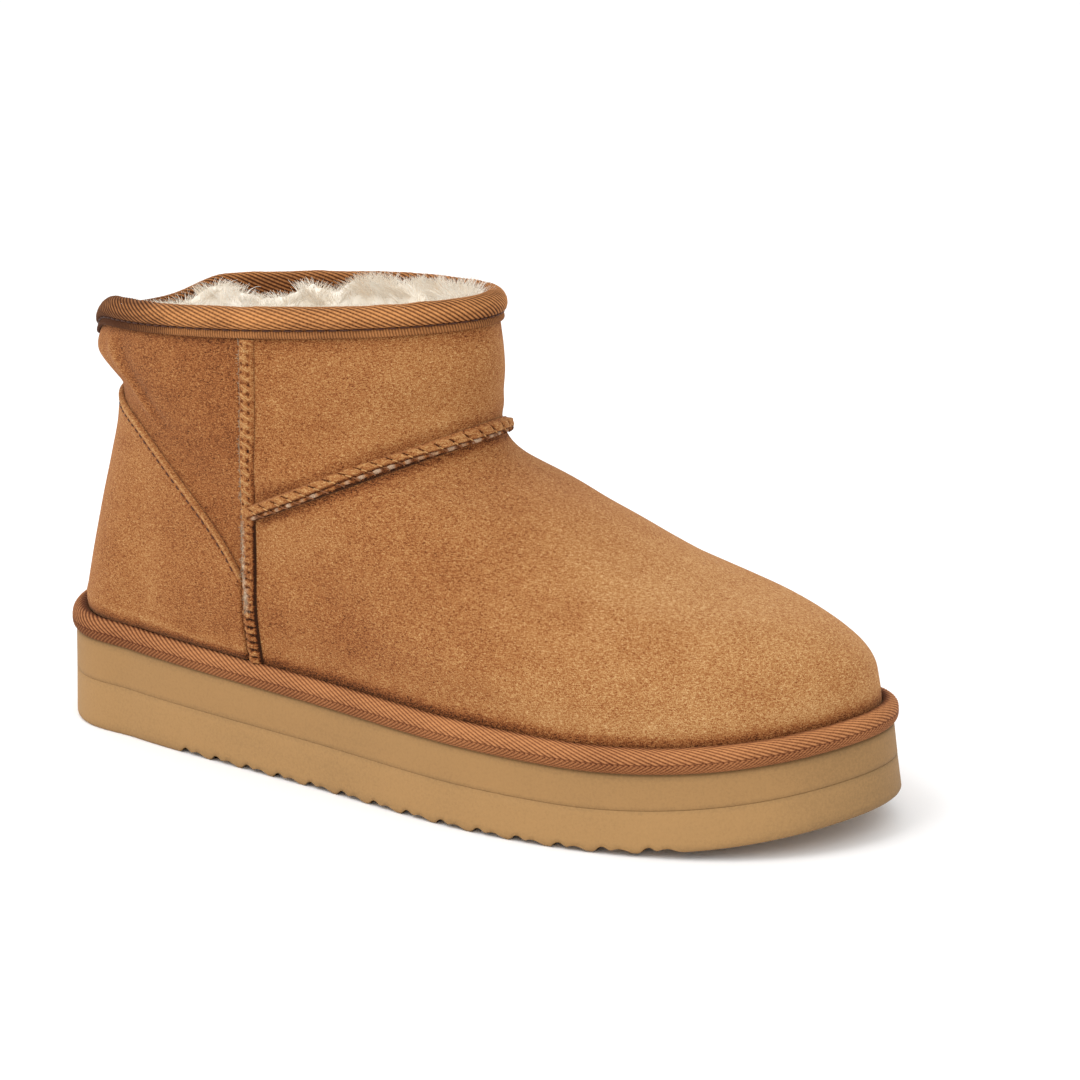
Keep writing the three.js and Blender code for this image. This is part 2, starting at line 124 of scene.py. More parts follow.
# Sections of the upper from the sole to the collar, each a tilted ring that sags at the back
UPPER = table(
    "back backZ front frontZ dip half oval swing offset sag",
    (-133.2, 29.0, 130.4, 31.0, 1.0, 49.0, 0.0, 5.7, 0.0, 0.0),
    (-132.8, 36.0, 130.5, 38.0, 1.0, 49.6, 0.0, 5.7, 0.0, 0.0),
    (-129.7, 52.0, 127.5, 49.2, 0.7, 49.9, 0.15, 5.0, 0.0, 0.0),
    (-127.1, 68.0, 115.2, 58.6, 0.35, 45.7, 0.4, 4.0, 0.0, 0.0),
    (-124.2, 83.0, 82.5, 66.0, 0.1, 42.5, 0.65, 3.0, 1.0, 0.0),
    (-121.8, 96.0, 43.0, 79.8, 0.0, 39.9, 0.85, 2.0, 2.0, 0.0),
    (-122.4, 107.0, 9.0, 95.5, 0.0, 38.3, 1.0, 1.0, 3.0, 0.0),
    (-132.0, 116.0, 7.8, 118.8, 0.0, 37.4, 1.0, 0.0, 4.0, 2.0),
    (-130.2, 129.7, 5.0, 139.0, 0.0, 36.1, 1.0, 0.0, 5.0, 6.2),
)
SAG_PLACE = 0.51
SAG_WIDTH = 0.07
TOP = len(UPPER["back"]) - 1

# Top edge of the heel counter, seen from the side
COUNTER_EDGE = table(
    "x z",
    (-150.0, 106.5),
    (-125.0, 104.5),
    (-114.0, 101.7),
    (-99.0, 96.0),
    (-79.0, 82.8),
    (-62.0, 69.5),
    (-48.0, 54.5),
)

# Section of the piping above the sole's top edge
PIPING = table(
    "out up",
    (0.3, 0.35),
    (1.0, 1.4),
    (1.2, 3.2),
    (0.8, 5.2),
    (-0.5, 6.7),
    (-2.2, 7.2),
)

# Section of the collar tape, from its stitched lower edge over the rim to the inside
TAPE = table(
    "out down",
    (0.35, 7.2),
    (1.0, 7.15),
    (1.3, 6.5),
    (1.2, 5.4),
    (1.25, 4.9),
    (2.0, 4.2),
    (2.45, 3.2),
    (2.55, 2.0),
    (2.2, 0.5),
    (1.4, -0.9),
    (0.1, -1.75),
    (-1.8, -1.9),
    (-3.3, -0.9),
    (-3.9, 1.2),
    (-3.9, 3.6),
    (-3.9, 6.0),
)


# Curves


def smooth_column(source, key, column, at):
    """Smooth value of one column of a table at places along another column."""
    keys, values = source[key], source[column]
    last = len(keys) - 1
    high = np.minimum(np.arange(last + 1) + 1, last)
    low = np.maximum(np.arange(last + 1) - 1, 0)
    slopes = (values[high] - values[low]) / (keys[high] - keys[low])
    k = np.clip(np.searchsorted(keys, at) - 1, 0, last - 1)
    h = keys[k + 1] - keys[k]
    t = (at - keys[k]) / h
    return (
        (2 * t**3 - 3 * t**2 + 1) * values[k]
        + (t**3 - 2 * t**2 + t) * h * slopes[k]
        + (3 * t**2 - 2 * t**3) * values[k + 1]
        + (t**3 - t**2) * h * slopes[k + 1]
    )


def catmull_rom(points, at):
    """Centripetal Catmull-Rom curves through points[0], points[1], ... at numbers of points."""
    ends = [2 * points[:1] - points[1:2], points, 2 * points[-1:] - points[-2:-1]]
    padded = np.concatenate(ends)
    at = np.asarray(at, float)
    k = np.clip(np.floor(at).astype(int), 0, len(points) - 2)
    t = (at - k).reshape(-1, *[1] * (points.ndim - 1))
    p0, p1, p2, p3 = (padded[k + i] for i in range(4))
    d0, d1, d2 = (
        np.maximum(np.linalg.norm(b - a, axis=-1, keepdims=True), 1e-6) ** 0.5
        for a, b in ((p0, p1), (p1, p2), (p2, p3))
    )
    start = ((p1 - p0) / d0 - (p2 - p0) / (d0 + d1) + (p2 - p1) / d1) * d1
    end = ((p2 - p1) / d1 - (p3 - p1) / (d1 + d2) + (p3 - p2) / d2) * d1
    c2 = -3 * p1 + 3 * p2 - 2 * start - end
    c3 = 2 * p1 - 2 * p2 + start + end
    return p1 + start * t + c2 * t**2 + c3 * t**3


def reach_along(points):
    """Distance from the first point to each point along a line."""
    steps = np.linalg.norm(np.diff(points, axis=0), axis=-1)
    return np.concatenate([[0.0], np.cumsum(steps)])


def points_along(line, goal):
    """Points of a line at distances from its first point."""
    reach = reach_along(line)
    return np.stack([np.interp(goal, reach, column) for column in line.T], 1)


def even_curve(section, count):
    """Evenly spaced points on a smooth curve through the rows of a table."""
    points = np.stack(list(section.values()), 1)
    fine = catmull_rom(points, np.linspace(0, len(points) - 1, 40 * len(points)))
    return points_along(fine, np.linspace(0, reach_along(fine)[-1], count))


def unit(vectors):
    return vectors / np.maximum(np.linalg.norm(vectors, axis=-1, keepdims=True), 1e-9)


def ease(x, low, high):
    """0 below low, 1 above high, smooth between."""
    t = np.clip((x - low) / (high - low), 0, 1)
    return t * t * (3 - 2 * t)


def hump(x, centre, width):
    return np.exp(-(((x - centre) / width) ** 2))


def value_noise(a, b, seed, wrap=0):
    """Smooth noise from -1 to 1, one cell per unit of a and b; a repeats after wrap cells."""
    a, b = np.broadcast_arrays(np.asarray(a, float), np.asarray(b, float))
    size = 256
    lattice = np.random.default_rng(seed).uniform(-1, 1, (size, size))
    ia, ib = np.floor(a).astype(int), np.floor(b).astype(int)
    ta, tb = ease(a - ia, 0, 1), ease(b - ib, 0, 1)
    period = wrap or size
    a0, a1 = ia % period, (ia + 1) % period
    b0, b1 = ib % size, (ib + 1) % size
    low = lattice[a0, b0] * (1 - ta) + lattice[a1, b0] * ta
    high = lattice[a0, b1] * (1 - ta) + lattice[a1, b1] * ta
    return low * (1 - tb) + high * tb


def round_u(count):
    return np.arange(count) / count


def round_noise(u, cells, at, seed):
    """Noise with a number of cells round the foot."""
    return value_noise(u * cells, at, seed, wrap=cells)


# The sole's own lines


def spring_rise(x):
    return TOE_SPRING * (np.maximum(x - SPRING_START_X, 0) / (TOE_X - SPRING_START_X)) ** 2


def sole_share(x):
    return (x - HEEL_X) / (TOE_X - HEEL_X)


def sole_thickness(x):
    return HEEL_THICKNESS + (TOE_THICKNESS - HEEL_THICKNESS) * sole_share(x)


def sole_top(x):
    return sole_thickness(x) + spring_rise(x)


def parting_z(x):
    return spring_rise(x) + sole_thickness(x) * PARTING


def outline_point(angle, back, front, half, oval=0.0, swing=TOE_SWING, offset=0.0):
    """Plan outline by angle: 0 is the toe tip, pi the heel, the outer side lies between them."""
    along = (1 + np.cos(angle)) / 2
    lateral = smooth_column(FOOT, "along", "lateral", along)
    medial = smooth_column(FOOT, "along", "medial", along)
    share = np.where(np.sin(angle) >= 0, lateral, medial) * (1 - oval) + oval
    middle = offset + swing * np.maximum(2 * along - 1, 0) ** 2
    return back + (front - back) * along, middle - np.sin(angle) * share * half


def plan_outline(u, **shape):
    """Plan outline by u: 0 is the toe tip, 0.5 the heel, evenly spaced on each side of the foot."""
    x, y = outline_point(np.linspace(0, 2 * np.pi, OUTLINE_SAMPLES + 1), **shape)
    reach = reach_along(np.stack([x, y], 1))
    half = reach[OUTLINE_SAMPLES // 2]
    goal = np.where(u < 0.5, 2 * u * half, half + (2 * u - 1) * (reach[-1] - half))
    return np.interp(goal, reach, x), np.interp(goal, reach, y)


def sole_shape(draft_share, inset):
    heel_inset = HEEL_DRAFT * draft_share + inset
    toe_inset = TOE_DRAFT * draft_share + inset
    half = BALL_HALF_WIDTH - (heel_inset + toe_inset) / 2
    return {"back": HEEL_X + heel_inset, "front": TOE_X - toe_inset, "half": half}


# The upper's outer face


def turn_round(u):
    return np.asarray(u, float) % 1.0


class Form:
    """The upper's outer face. u runs round the foot, v from the sole (0) to the rim (TOP)."""

    def __init__(self):
        u = round_u(FORM_AROUND)
        rings = []
        for k in range(TOP + 1):
            row = {name: column[k] for name, column in UPPER.items()}
            names = ("back", "front", "half", "oval", "swing", "offset")
            shape = {name: row[name] for name in names}
            x, y = plan_outline(u, **shape)
            t = (x - row["back"]) / (row["front"] - row["back"])
            chord = sole_top(HEEL_X) + (sole_top(TOE_X) - sole_top(HEEL_X)) * sole_share(x)
            sag = row["sag"] * np.exp(-(((u - SAG_PLACE) / SAG_WIDTH) ** 4))
            z = row["backZ"] + (row["frontZ"] - row["backZ"]) * t - sag
            z = z + row["dip"] * (sole_top(x) - chord)
            rings.append(np.stack([x, y, z], 1))
        self.v = np.linspace(0, TOP, FORM_LEVELS)
        self.points = catmull_rom(np.stack(rings), self.v)
        around = np.roll(self.points, -1, 1) - np.roll(self.points, 1, 1)
        up = np.gradient(self.points, axis=0)
        normal = unit(np.cross(up, around))
        # Near the sole the normals are level.
        normal[..., 2] *= np.clip(self.v / 0.5, 0, 1)[:, None]
        self.normals = unit(normal)
        steps = np.linalg.norm(np.diff(self.points, axis=0), axis=-1)
        climbed = np.concatenate([np.zeros((1, FORM_AROUND)), np.cumsum(steps, axis=0)])
        self.depth = climbed[-1] - climbed
        self.up = unit(up)

    def sample(self, grid, u, v):
        fu = turn_round(u) * FORM_AROUND
        fv = np.clip(v, 0, TOP) / TOP * (FORM_LEVELS - 1)
        i = np.floor(fu).astype(int)
        j = np.minimum(np.floor(fv).astype(int), FORM_LEVELS - 2)
        tu = (fu - i)[..., None]
        tv = (fv - j)[..., None]
        i0, i1 = i % FORM_AROUND, (i + 1) % FORM_AROUND
        low = grid[j, i0] * (1 - tu) + grid[j, i1] * tu
        high = grid[j + 1, i0] * (1 - tu) + grid[j + 1, i1] * tu
        return low * (1 - tv) + high * tv

    def at(self, u, v, out=0.0):
        """Points of the face, moved out by a distance along its normal."""
        u, v, out = np.broadcast_arrays(u, v, out)
        return self.sample(self.points, u, v) + self.normal(u, v) * out[..., None]

    def normal(self, u, v):
        u, v = np.broadcast_arrays(u, v)
        return unit(self.sample(self.normals, u, v))

    def level(self, u, down):
        """v at a distance down from the rim along the face."""
        u, down = np.broadcast_arrays(u, down)
        columns = np.round(turn_round(u) * FORM_AROUND).astype(int) % FORM_AROUND
        found = np.empty(u.shape)
        for index in np.unique(columns):
            here = columns == index
            found[here] = np.interp(down[here], self.depth[::-1, index], self.v[::-1])
        return found

    def below_rim(self, u, down, out=0.0):
        """Points by the distance down from the rim; a negative one lies above the rim."""
        u, down, out = np.broadcast_arrays(u, down, out)
        base = self.at(u, self.level(u, np.maximum(down, 0)), out)
        rise = self.sample(self.up, u, np.full(u.shape, float(TOP)))
        return base + rise * np.maximum(-down, 0)[..., None]

    def crossing_v(self, u, rises):
        """For each u, the v where rises(points) turns from negative to positive, going up."""
        columns = self.sample(self.points, *np.meshgrid(u, self.v))
        values = rises(columns)
        return np.array([np.interp(0.0, np.maximum.accumulate(c), self.v) for c in values.T])

    def crossing_u(self, v, rises, side):
        """For each v, the u on one side of the foot where rises(points) is zero."""
        u = np.linspace(0.5, 0.0 if side < 0 else 1.0, 400)
        uu, vv = np.meshgrid(u, v)
        values = rises(self.sample(self.points, uu, vv))
        return np.array([np.interp(0.0, np.maximum.accumulate(row), u) for row in values])


FORM = Form()


def seam_x(z):
    return SEAM_X + (SEAM_Z - z) * SEAM_LEAN


def seam_u(v, shift, side):
    """u of the side seam's centre line at levels v, moved forward by a distance."""
    found = FORM.crossing_u(np.ravel(v), lambda p: p[..., 0] - seam_x(p[..., 2]) - shift, side)
    return found.reshape(np.shape(v))


def instep_line(x):
    """Lower edge of the instep band, seen from the side."""
    return INSTEP_Z + (x - INSTEP_X) * INSTEP_SLOPE


def counter_line(x):
    return smooth_column(COUNTER_EDGE, "x", "z", x)


def level_above(line, u, up=0.0):
    """v at a height above one of the lines of the side view."""
    return FORM.crossing_v(u, lambda p: p[..., 2] - line(p[..., 0]) - up)


# Meshes


def mesh_object(name, points, faces, material, attributes=None):
    """A smooth mesh from points in millimetres and arrays of faces, riding on the boot."""
    mesh = bpy.data.meshes.new(name)
    points = (np.asarray(points).reshape(-1, 3) + CENTRE_SHIFT) * MM
    mesh.vertices.add(len(points))
    mesh.vertices.foreach_set("co", points.ravel())
    corners = np.concatenate([np.ravel(f) for f in faces])
    sizes = np.concatenate([np.full(len(f), f.shape[1]) for f in faces])
    mesh.loops.add(len(corners))
    mesh.loops.foreach_set("vertex_index", corners.astype(np.int32))
    mesh.polygons.add(len(sizes))
    starts = np.concatenate([[0], np.cumsum(sizes)[:-1]])
    mesh.polygons.foreach_set("loop_start", starts.astype(np.int32))
    mesh.update(calc_edges=True)
    mesh.validate()
    for key, values in (attributes or {}).items():
        layer = mesh.attributes.new(key, "FLOAT", "POINT")
        layer.data.foreach_set("value", np.ravel(values).astype(np.float32))
    mesh.shade_smooth()
    mesh.materials.append(material)
    piece = bpy.data.objects.new(name, mesh)
    bpy.context.scene.collection.objects.link(piece)
    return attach(piece, "root")


def grid_faces(rows, columns, wrap_rows=False, wrap_columns=False):
    """Quads of a grid of points in row order."""
    i = np.arange(rows if wrap_rows else rows - 1)[:, None]
    j = np.arange(columns if wrap_columns else columns - 1)[None, :]
    i1, j1 = (i + 1) % rows, (j + 1) % columns
    quads = [i * columns + j, i1 * columns + j, i1 * columns + j1, i * columns + j1]
    return np.stack([np.broadcast_to(q, (i.size, j.size)) for q in quads], -1).reshape(-1, 4)


def outward(points, faces):
    """The faces, turned so that they face out of the closed body."""
    points = np.asarray(points).reshape(-1, 3)
    volume = 0.0
    for f in faces:
        for k in range(1, f.shape[1] - 1):
            a, b, c = points[f[:, 0]], points[f[:, k]], points[f[:, k + 1]]
            volume += np.einsum("ij,ij->", a, np.cross(b, c))
    return [f[:, ::-1] for f in faces] if volume < 0 else faces


def loop_piece(name, rings, material, attributes=None):
    """A closed ring of a body: rows of closed rings, the last joined to the first."""
    faces = outward(rings, [grid_faces(*rings.shape[:2], wrap_rows=True, wrap_columns=True)])
    return mesh_object(name, rings, faces, material, attributes)


def band_piece(name, top, bottom, material, attributes=None, under=2):
    """A closed band from two grids of points: rows go across it, columns along it."""
    rows, columns = top.shape[:2]
    picks = np.linspace(rows - 1, 0, under).round().astype(int)
    loops = np.concatenate([top, bottom[picks]])
    count = len(loops)
    index = np.arange(count) * columns
    caps = np.stack([index[::-1], index + columns - 1])
    faces = outward(loops, [grid_faces(count, columns, wrap_rows=True), caps])
    values = {key: np.concatenate([v, v[picks]]) for key, v in (attributes or {}).items()}
    return mesh_object(name, loops, faces, material, values)


def grid_normals(points):
    """Unit normals of a grid of points whose rows are closed rings."""
    around = np.roll(points, -1, 1) - np.roll(points, 1, 1)
    return unit(np.cross(np.gradient(points, axis=0), around))


def tubes(name, centres, radii, sides, material, attributes=None):
    """Many closed tubes in one mesh: centres (tubes, steps, 3), radii (tubes, steps)."""
    centres = np.asarray(centres, float)
    count, steps = centres.shape[:2]
    radii = np.broadcast_to(radii, (count, steps))
    tangent = unit(np.gradient(centres, axis=1))
    # An odd direction, so that hardly any tube is parallel to it
    hint = np.broadcast_to([0.31, 0.17, 0.93], tangent.shape)
    side = unit(np.cross(tangent, hint))
    other = np.cross(side, tangent)
    angle = 2 * np.pi * np.arange(sides) / sides
    ring = side[:, :, None] * np.cos(angle)[:, None] + other[:, :, None] * np.sin(angle)[:, None]
    points = centres[:, :, None] + ring * radii[:, :, None, None]
    first = np.arange(sides)[None, ::-1]
    caps = np.concatenate([first, first[:, ::-1] + (steps - 1) * sides])
    one = outward(points[0], [grid_faces(steps, sides, wrap_columns=True), caps])
    offsets = (np.arange(count) * steps * sides)[:, None, None]
    faces = [(f + offsets).reshape(-1, f.shape[1]) for f in one]
    # An attribute has a value for each step of each tube.
    values = {key: np.repeat(value, sides) for key, value in (attributes or {}).items()}
    return mesh_object(name, points, faces, material, values)


# Materials


def linear(red, green, blue):
    """A colour given as it looks on a screen, 0 to 255."""
    c = np.array([red, green, blue]) / 255
    channels = np.where(c <= 0.04045, c / 12.92, ((c + 0.055) / 1.055) ** 2.4)
    return (*channels.tolist(), 1.0)


class Shader:
    """A node material with one Principled shader."""

    def __init__(self, name, **settings):
        self.material = bpy.data.materials.new(name)
        self.material.use_nodes = True
        self.tree = self.material.node_tree
        self.shader = self.tree.nodes["Principled BSDF"]
        for key, value in settings.items():
            self.shader.inputs[key.replace("_", " ")].default_value = value
        self.place = self.node("ShaderNodeTexCoord").outputs["Object"]

    def node(self, kind, inputs=None, **settings):
        made = self.tree.nodes.new(kind)
        for key, value in settings.items():
            setattr(made, key, value)
        for key, value in (inputs or {}).items():
            self.feed(made.inputs[key], value)
        return made

    def feed(self, socket, value):
        if isinstance(value, bpy.types.NodeSocket):
            self.tree.links.new(value, socket)
        else:
            socket.default_value = value

    def noise(self, scale, detail=2.0, stretch=None, roughness=0.5, distortion=0.0):
        place = self.place
        if stretch:
            place = self.node("ShaderNodeMapping", {"Vector": place, "Scale": stretch}).outputs[0]
        inputs = {"Vector": place, "Scale": scale, "Detail": detail, "Roughness": roughness}
        inputs["Distortion"] = distortion
        return self.node("ShaderNodeTexNoise", inputs).outputs["Fac"]

    def attribute(self, name):
        return self.node("ShaderNodeAttribute", attribute_name=name).outputs["Fac"]

    def math(self, operation, first, second=0.0, third=0.0):
        return self.node(
            "ShaderNodeMath", {0: first, 1: second, 2: third}, operation=operation
        ).outputs[0]

    def ramp(self, factor, *stops):
        made = self.node("ShaderNodeValToRGB", {"Fac": factor})
        elements = made.color_ramp.elements
        while len(elements) < len(stops):
            elements.new(0.5)
        for element, (position, colour) in zip(elements, stops):
            element.position = position
            element.color = linear(*colour)
        return made.outputs["Color"]

    def mix(self, share, first, second):
        made = self.node("ShaderNodeMix", {0: share, 6: first, 7: second}, data_type="RGBA")
        return made.outputs[2]

    def add_scaled(self, base, *terms):
        """base plus each value, centred on a half, times its weight."""
        for value, weight in terms:
            base = self.math("MULTIPLY_ADD", self.math("SUBTRACT", value, 0.5), weight, base)
        return base

    def finish(self, colour, height, depth, strength=1.0):
        self.feed(self.shader.inputs["Base Color"], colour)
        inputs = {"Height": height, "Distance": depth * MM, "Strength": strength}
        bump = self.node("ShaderNodeBump", inputs)
        self.feed(self.shader.inputs["Normal"], bump.outputs["Normal"])
        return self.material


def suede_material():
    """Napped suede: tone goes from 0, darkest, to 1, light, and carries burnished suede, painted
    shade and painted light; pale is 1 where fleece shows.
    """
    s = Shader(
        "suede", Roughness=0.95, Sheen_Weight=0.3, Sheen_Roughness=0.45,
        Sheen_Tint=linear(226, 170, 124), Specular_IOR_Level=0.12,
    )
    grain = s.noise(3300.0, 2.0, roughness=0.65)
    fibre = s.noise(2100.0, 2.0, stretch=(0.5, 0.5, 1.3), roughness=0.6)
    patches = s.noise(50.0, 3.0)
    clouds = s.noise(190.0, 2.0, distortion=0.6)
    tone = s.add_scaled(
        s.attribute("tone"), (grain, 1.45), (fibre, 1.0), (patches, 0.2), (clouds, 0.14)
    )
    colour = s.ramp(
        tone, (0.0, (46, 23, 10)), (0.22, (112, 61, 30)), (0.42, (143, 87, 47)),
        (0.6, (161, 113, 67)), (0.8, (181, 137, 88)), (1.0, (200, 162, 116)),
    )
    fleece = s.ramp(
        s.add_scaled(grain, (clouds, 0.5)), (0.25, (128, 96, 70)), (0.6, (196, 176, 152))
    )
    mixed = s.mix(s.attribute("pale"), colour, fleece)
    height = s.add_scaled(grain, (fibre, 0.8), (clouds, 0.5))
    return s.finish(mixed, height, 0.2, 0.7)


def twill_material(name, light, dark):
    """Woven tape: groove is 1 between the ribs, and also marks painted shade lines at the tape's
    seams; tone shifts the whole colour and carries painted light and shade.
    """
    s = Shader(
        name, Roughness=0.85, Sheen_Weight=0.15, Sheen_Roughness=0.5,
        Sheen_Tint=linear(214, 150, 96), Specular_IOR_Level=0.12,
    )
    fleck = s.noise(1900.0, 2.0)
    wear = s.noise(70.0, 2.0)
    groove = s.math("SUBTRACT", 1.0, s.attribute("groove"))
    tone = s.add_scaled(groove, (s.attribute("tone"), 0.9), (fleck, 0.3), (wear, 0.2))
    middle = tuple(round((a * 1.15 + b * 0.85) / 2) for a, b in zip(light, dark))
    colour = s.ramp(tone, (0.05, dark), (0.5, middle), (0.95, light))
    return s.finish(colour, s.add_scaled(groove, (fleck, 0.6)), 0.1, 0.6)


def foam_material(name, colour):
    s = Shader(name, Roughness=0.72, Specular_IOR_Level=0.3)
    speck = s.noise(1300.0, 3.0, roughness=0.7)
    cloud = s.noise(28.0, 3.0)
    streak = s.noise(60.0, 2.0, stretch=(0.3, 0.3, 2.5))
    tone = s.add_scaled(s.attribute("tone"), (speck, 0.5), (cloud, 0.3), (streak, 0.16))
    dark = tuple(round(c * 0.72) for c in colour)
    light = tuple(min(255, round(c * 1.1)) for c in colour)
    shade = s.ramp(tone, (0.0, dark), (0.5, colour), (1.0, light))
    return s.finish(shade, speck, 0.06, 0.5)


def wool_material(name, glow):
    """Cream wool; its painted glow stands for light that passes through, so that it never looks
    grey.
    """
    s = Shader(
        name, Roughness=1.0, Sheen_Weight=0.25, Sheen_Roughness=0.5, Specular_IOR_Level=0.05,
        Emission_Color=linear(238, 228, 214), Emission_Strength=glow,
    )
    tint = s.noise(75.0, 2.0)
    curl = s.noise(900.0, 3.0, distortion=1.0)
    tone = s.add_scaled(s.attribute("tone"), (tint, 0.5), (curl, 0.2))
    colour = s.ramp(
        tone, (0.0, (186, 148, 112)), (0.3, (214, 196, 170)), (0.6, (230, 222, 208)),
        (1.0, (247, 243, 236)),
    )
    return s.finish(colour, curl, 0.3, 0.5)


def thread_material(name, colour):
    s = Shader(name, Roughness=0.6, Specular_IOR_Level=0.35)
    twist = s.noise(2600.0, 2.0)
    wear = s.noise(220.0, 1.0)
    dark = tuple(round(c * 0.6) for c in colour)
    tone = s.add_scaled(0.5, (twist, 0.9), (wear, 0.5))
    return s.finish(s.ramp(tone, (0.15, dark), (0.75, colour)), twist, 0.05, 0.5)


SUEDE = suede_material()
TAPE_TWILL = twill_material("collar_twill", (202, 140, 85), (58, 27, 10))
PIPING_TWILL = twill_material("piping_twill", (188, 129, 82), (80, 39, 20))
FOAM_LOWER = foam_material("foam_lower", (159, 122, 76))
FOAM_UPPER = foam_material("foam_upper", (153, 116, 71))
# Both wools glow with painted light; the tufts glow more than the lining.
WOOL = wool_material("wool", 0.1)
WOOL_TUFTS = wool_material("wool_tufts", 0.22)
THREAD_DARK = thread_material("thread_dark", (82, 40, 18))
THREAD_BROWN = thread_material("thread_brown", (142, 88, 48))
THREAD_GOLD = thread_material("thread_gold", (206, 152, 92))
THREAD_GREY = thread_material("thread_grey", (180, 156, 128))


# Sole


def sole_angles(count):
    """Angles from toe tip to heel that are evenly spaced along the outer side."""
    angle = np.linspace(0, np.pi, OUTLINE_SAMPLES)
    reach = reach_along(np.stack(outline_point(angle, **sole_shape(0, 0)), 1))
    return np.interp(np.linspace(0, reach[-1], count), reach, angle)


def sole_ring(angle, draft_share, inset, height):
    x, y = outline_point(angle, **sole_shape(draft_share, inset))
    return np.stack([x, y, height(x)], 1)


def groove_height(x, y):
    """Height of the tread's face above the lowest line of the sole."""
    t = (x - RIB_START_X) % RIB_PITCH
    start, middle, end = RIB_LAND / 2, SMALL_RIB_X, RIB_PITCH - RIB_LAND / 2
    lift = SMALL_RIB_LIFT
    first = np.clip((t - start) / (middle - start), 0, 1)
    second = np.clip((t - middle) / (end - middle), 0, 1)
    main = first * lift + (MAIN_GROOVE_DEPTH - lift / 2) * np.sin(np.pi * first)
    small = lift * (1 - second) + (SMALL_GROOVE_DEPTH - lift / 2) * np.sin(np.pi * second)
    height = np.where(t < middle, main, small)
    height = np.where((t < start) | (t > end), 0.0, height)
    in_comb = (x > RIB_START_X) & (x < RIB_START_X + RIB_COUNT * RIB_PITCH)
    pad = ((x - PAD_X) / PAD_HALF_LENGTH) ** 2 + (y / PAD_HALF_WIDTH) ** 2
    return np.where(in_comb & (pad > 1), height, 0.0)


def ring_body(name, rings, across, material, attributes_of, rungs=16):
    """A body from rings by angle whose two ends are filled by straight rows from side to side."""
    rows, around = rings.shape[:2]
    half = around // 2
    points = [rings.reshape(-1, 3)]
    faces = [grid_faces(rows, around, wrap_columns=True)]
    start = rows * around
    for end, height in ((0, across[0]), (rows - 1, across[1])):
        ring = rings[end]
        lateral, medial = ring[1:half], ring[:half:-1]
        share = np.linspace(0, 1, rungs + 1)[1:-1]
        inner = lateral[:, None] + (medial - lateral)[:, None] * share[:, None]
        inner[..., 2] = height(inner[..., 0], inner[..., 1])
        points.append(inner.reshape(-1, 3))
        columns = inner.shape[1]
        index = start + np.arange(inner.shape[0] * columns).reshape(-1, columns)
        left = end * around + np.arange(1, half)
        right = end * around + np.arange(around - 1, half, -1)
        full = np.concatenate([left[:, None], index, right[:, None]], 1)
        quads = np.stack([full[:-1, :-1], full[1:, :-1], full[1:, 1:], full[:-1, 1:]], -1)
        tip = np.full(columns + 1, end * around)
        toe = np.stack([full[0, :-1], full[0, 1:], tip], 1)
        heel = np.stack([full[-1, 1:], full[-1, :-1], tip + half], 1)
        quads = quads.reshape(-1, 4)
        if end == 0:
            quads, toe, heel = quads[:, ::-1], toe[:, ::-1], heel[:, ::-1]
        faces += [quads, toe, heel]
        start += inner.shape[0] * columns
    points = np.concatenate(points)
    return mesh_object(name, points, outward(points, faces), material, attributes_of(points))


def round_angles(count):
    side = sole_angles(count // 2 + 1)
    return np.concatenate([side, 2 * np.pi - side[-2:0:-1]])


def parting_rings(angle, side):
    """The rings that round a layer's edge, above the parting line (1) or below it (-1)."""
    return [
        sole_ring(angle, PARTING, inset, lambda x: parting_z(x) + side * gap)
        for inset, gap in ((0.08, 0.06), (0.4, 0.02))
    ]


def foam_tone(edge, width, edge_depth, toe_depth):
    """Tone of a foam layer: darker at the parting line, with painted shade at its other edge and
    round the toe.
    """

    def tone(points):
        x, z = points[:, 0], points[:, 2]
        line = 0.14 * hump(z, parting_z(x), 0.5)
        toe = toe_depth * ease(x, *TOE_SHADE)
        return {"tone": 0.5 - line - edge_depth * hump(z, edge(x), width) - toe}

    return tone


def make_sole_lower():
    angle = round_angles(840)
    rows = []
    rounding = ((EDGE_ROUND, 0.0), (0.9, 0.08), (0.42, 0.42), (0.12, 0.9), (0.0, EDGE_ROUND))
    for inset, rise in rounding:
        ring = sole_ring(angle, 0, inset, spring_rise)
        cut = groove_height(ring[:, 0], ring[:, 1])
        ring[:, 2] += np.maximum(rise, cut)
        rows.append(ring)
    for t in np.linspace(0, 1, 9)[1:]:
        ring = sole_ring(angle, PARTING * t, 0, lambda x: parting_z(x) - 0.2)
        cut = groove_height(ring[:, 0], ring[:, 1])
        low = spring_rise(ring[:, 0]) + np.maximum(EDGE_ROUND, cut)
        ring[:, 2] = low + (ring[:, 2] - low) * t
        rows.append(ring)
    rows += parting_rings(angle, -1)
    heights = (
        lambda x, y: spring_rise(x) + groove_height(x, y),
        lambda x, y: parting_z(x) - 0.02,
    )
    tone = foam_tone(spring_rise, 2.0, 0.15, 0.2)
    piece = ring_body("sole_lower_foam", np.stack(rows), heights, FOAM_LOWER, tone)
    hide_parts("outsole")


def make_sole_upper():
    angle = round_angles(700)
    rows = parting_rings(angle, 1)[::-1]

    def side_height(x, t):
        low = parting_z(x) + 0.2
        return low + (sole_top(x) - 0.9 - low) * t

    for t in np.linspace(0, 1, 9):
        share = PARTING + (0.96 - PARTING) * t
        rows.append(sole_ring(angle, share, 0, lambda x: side_height(x, t)))
    rows.append(sole_ring(angle, 1, 0.2, lambda x: sole_top(x) - 0.3))
    rows.append(sole_ring(angle, 1, 0.8, sole_top))
    heights = (lambda x, y: parting_z(x) + 0.02, lambda x, y: sole_top(x))
    tone = foam_tone(sole_top, 1.4, 0.22, 0.15)
    piece = ring_body("sole_upper_foam", np.stack(rows), heights, FOAM_UPPER, tone, rungs=12)
    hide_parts("midsole")


# Woven tapes


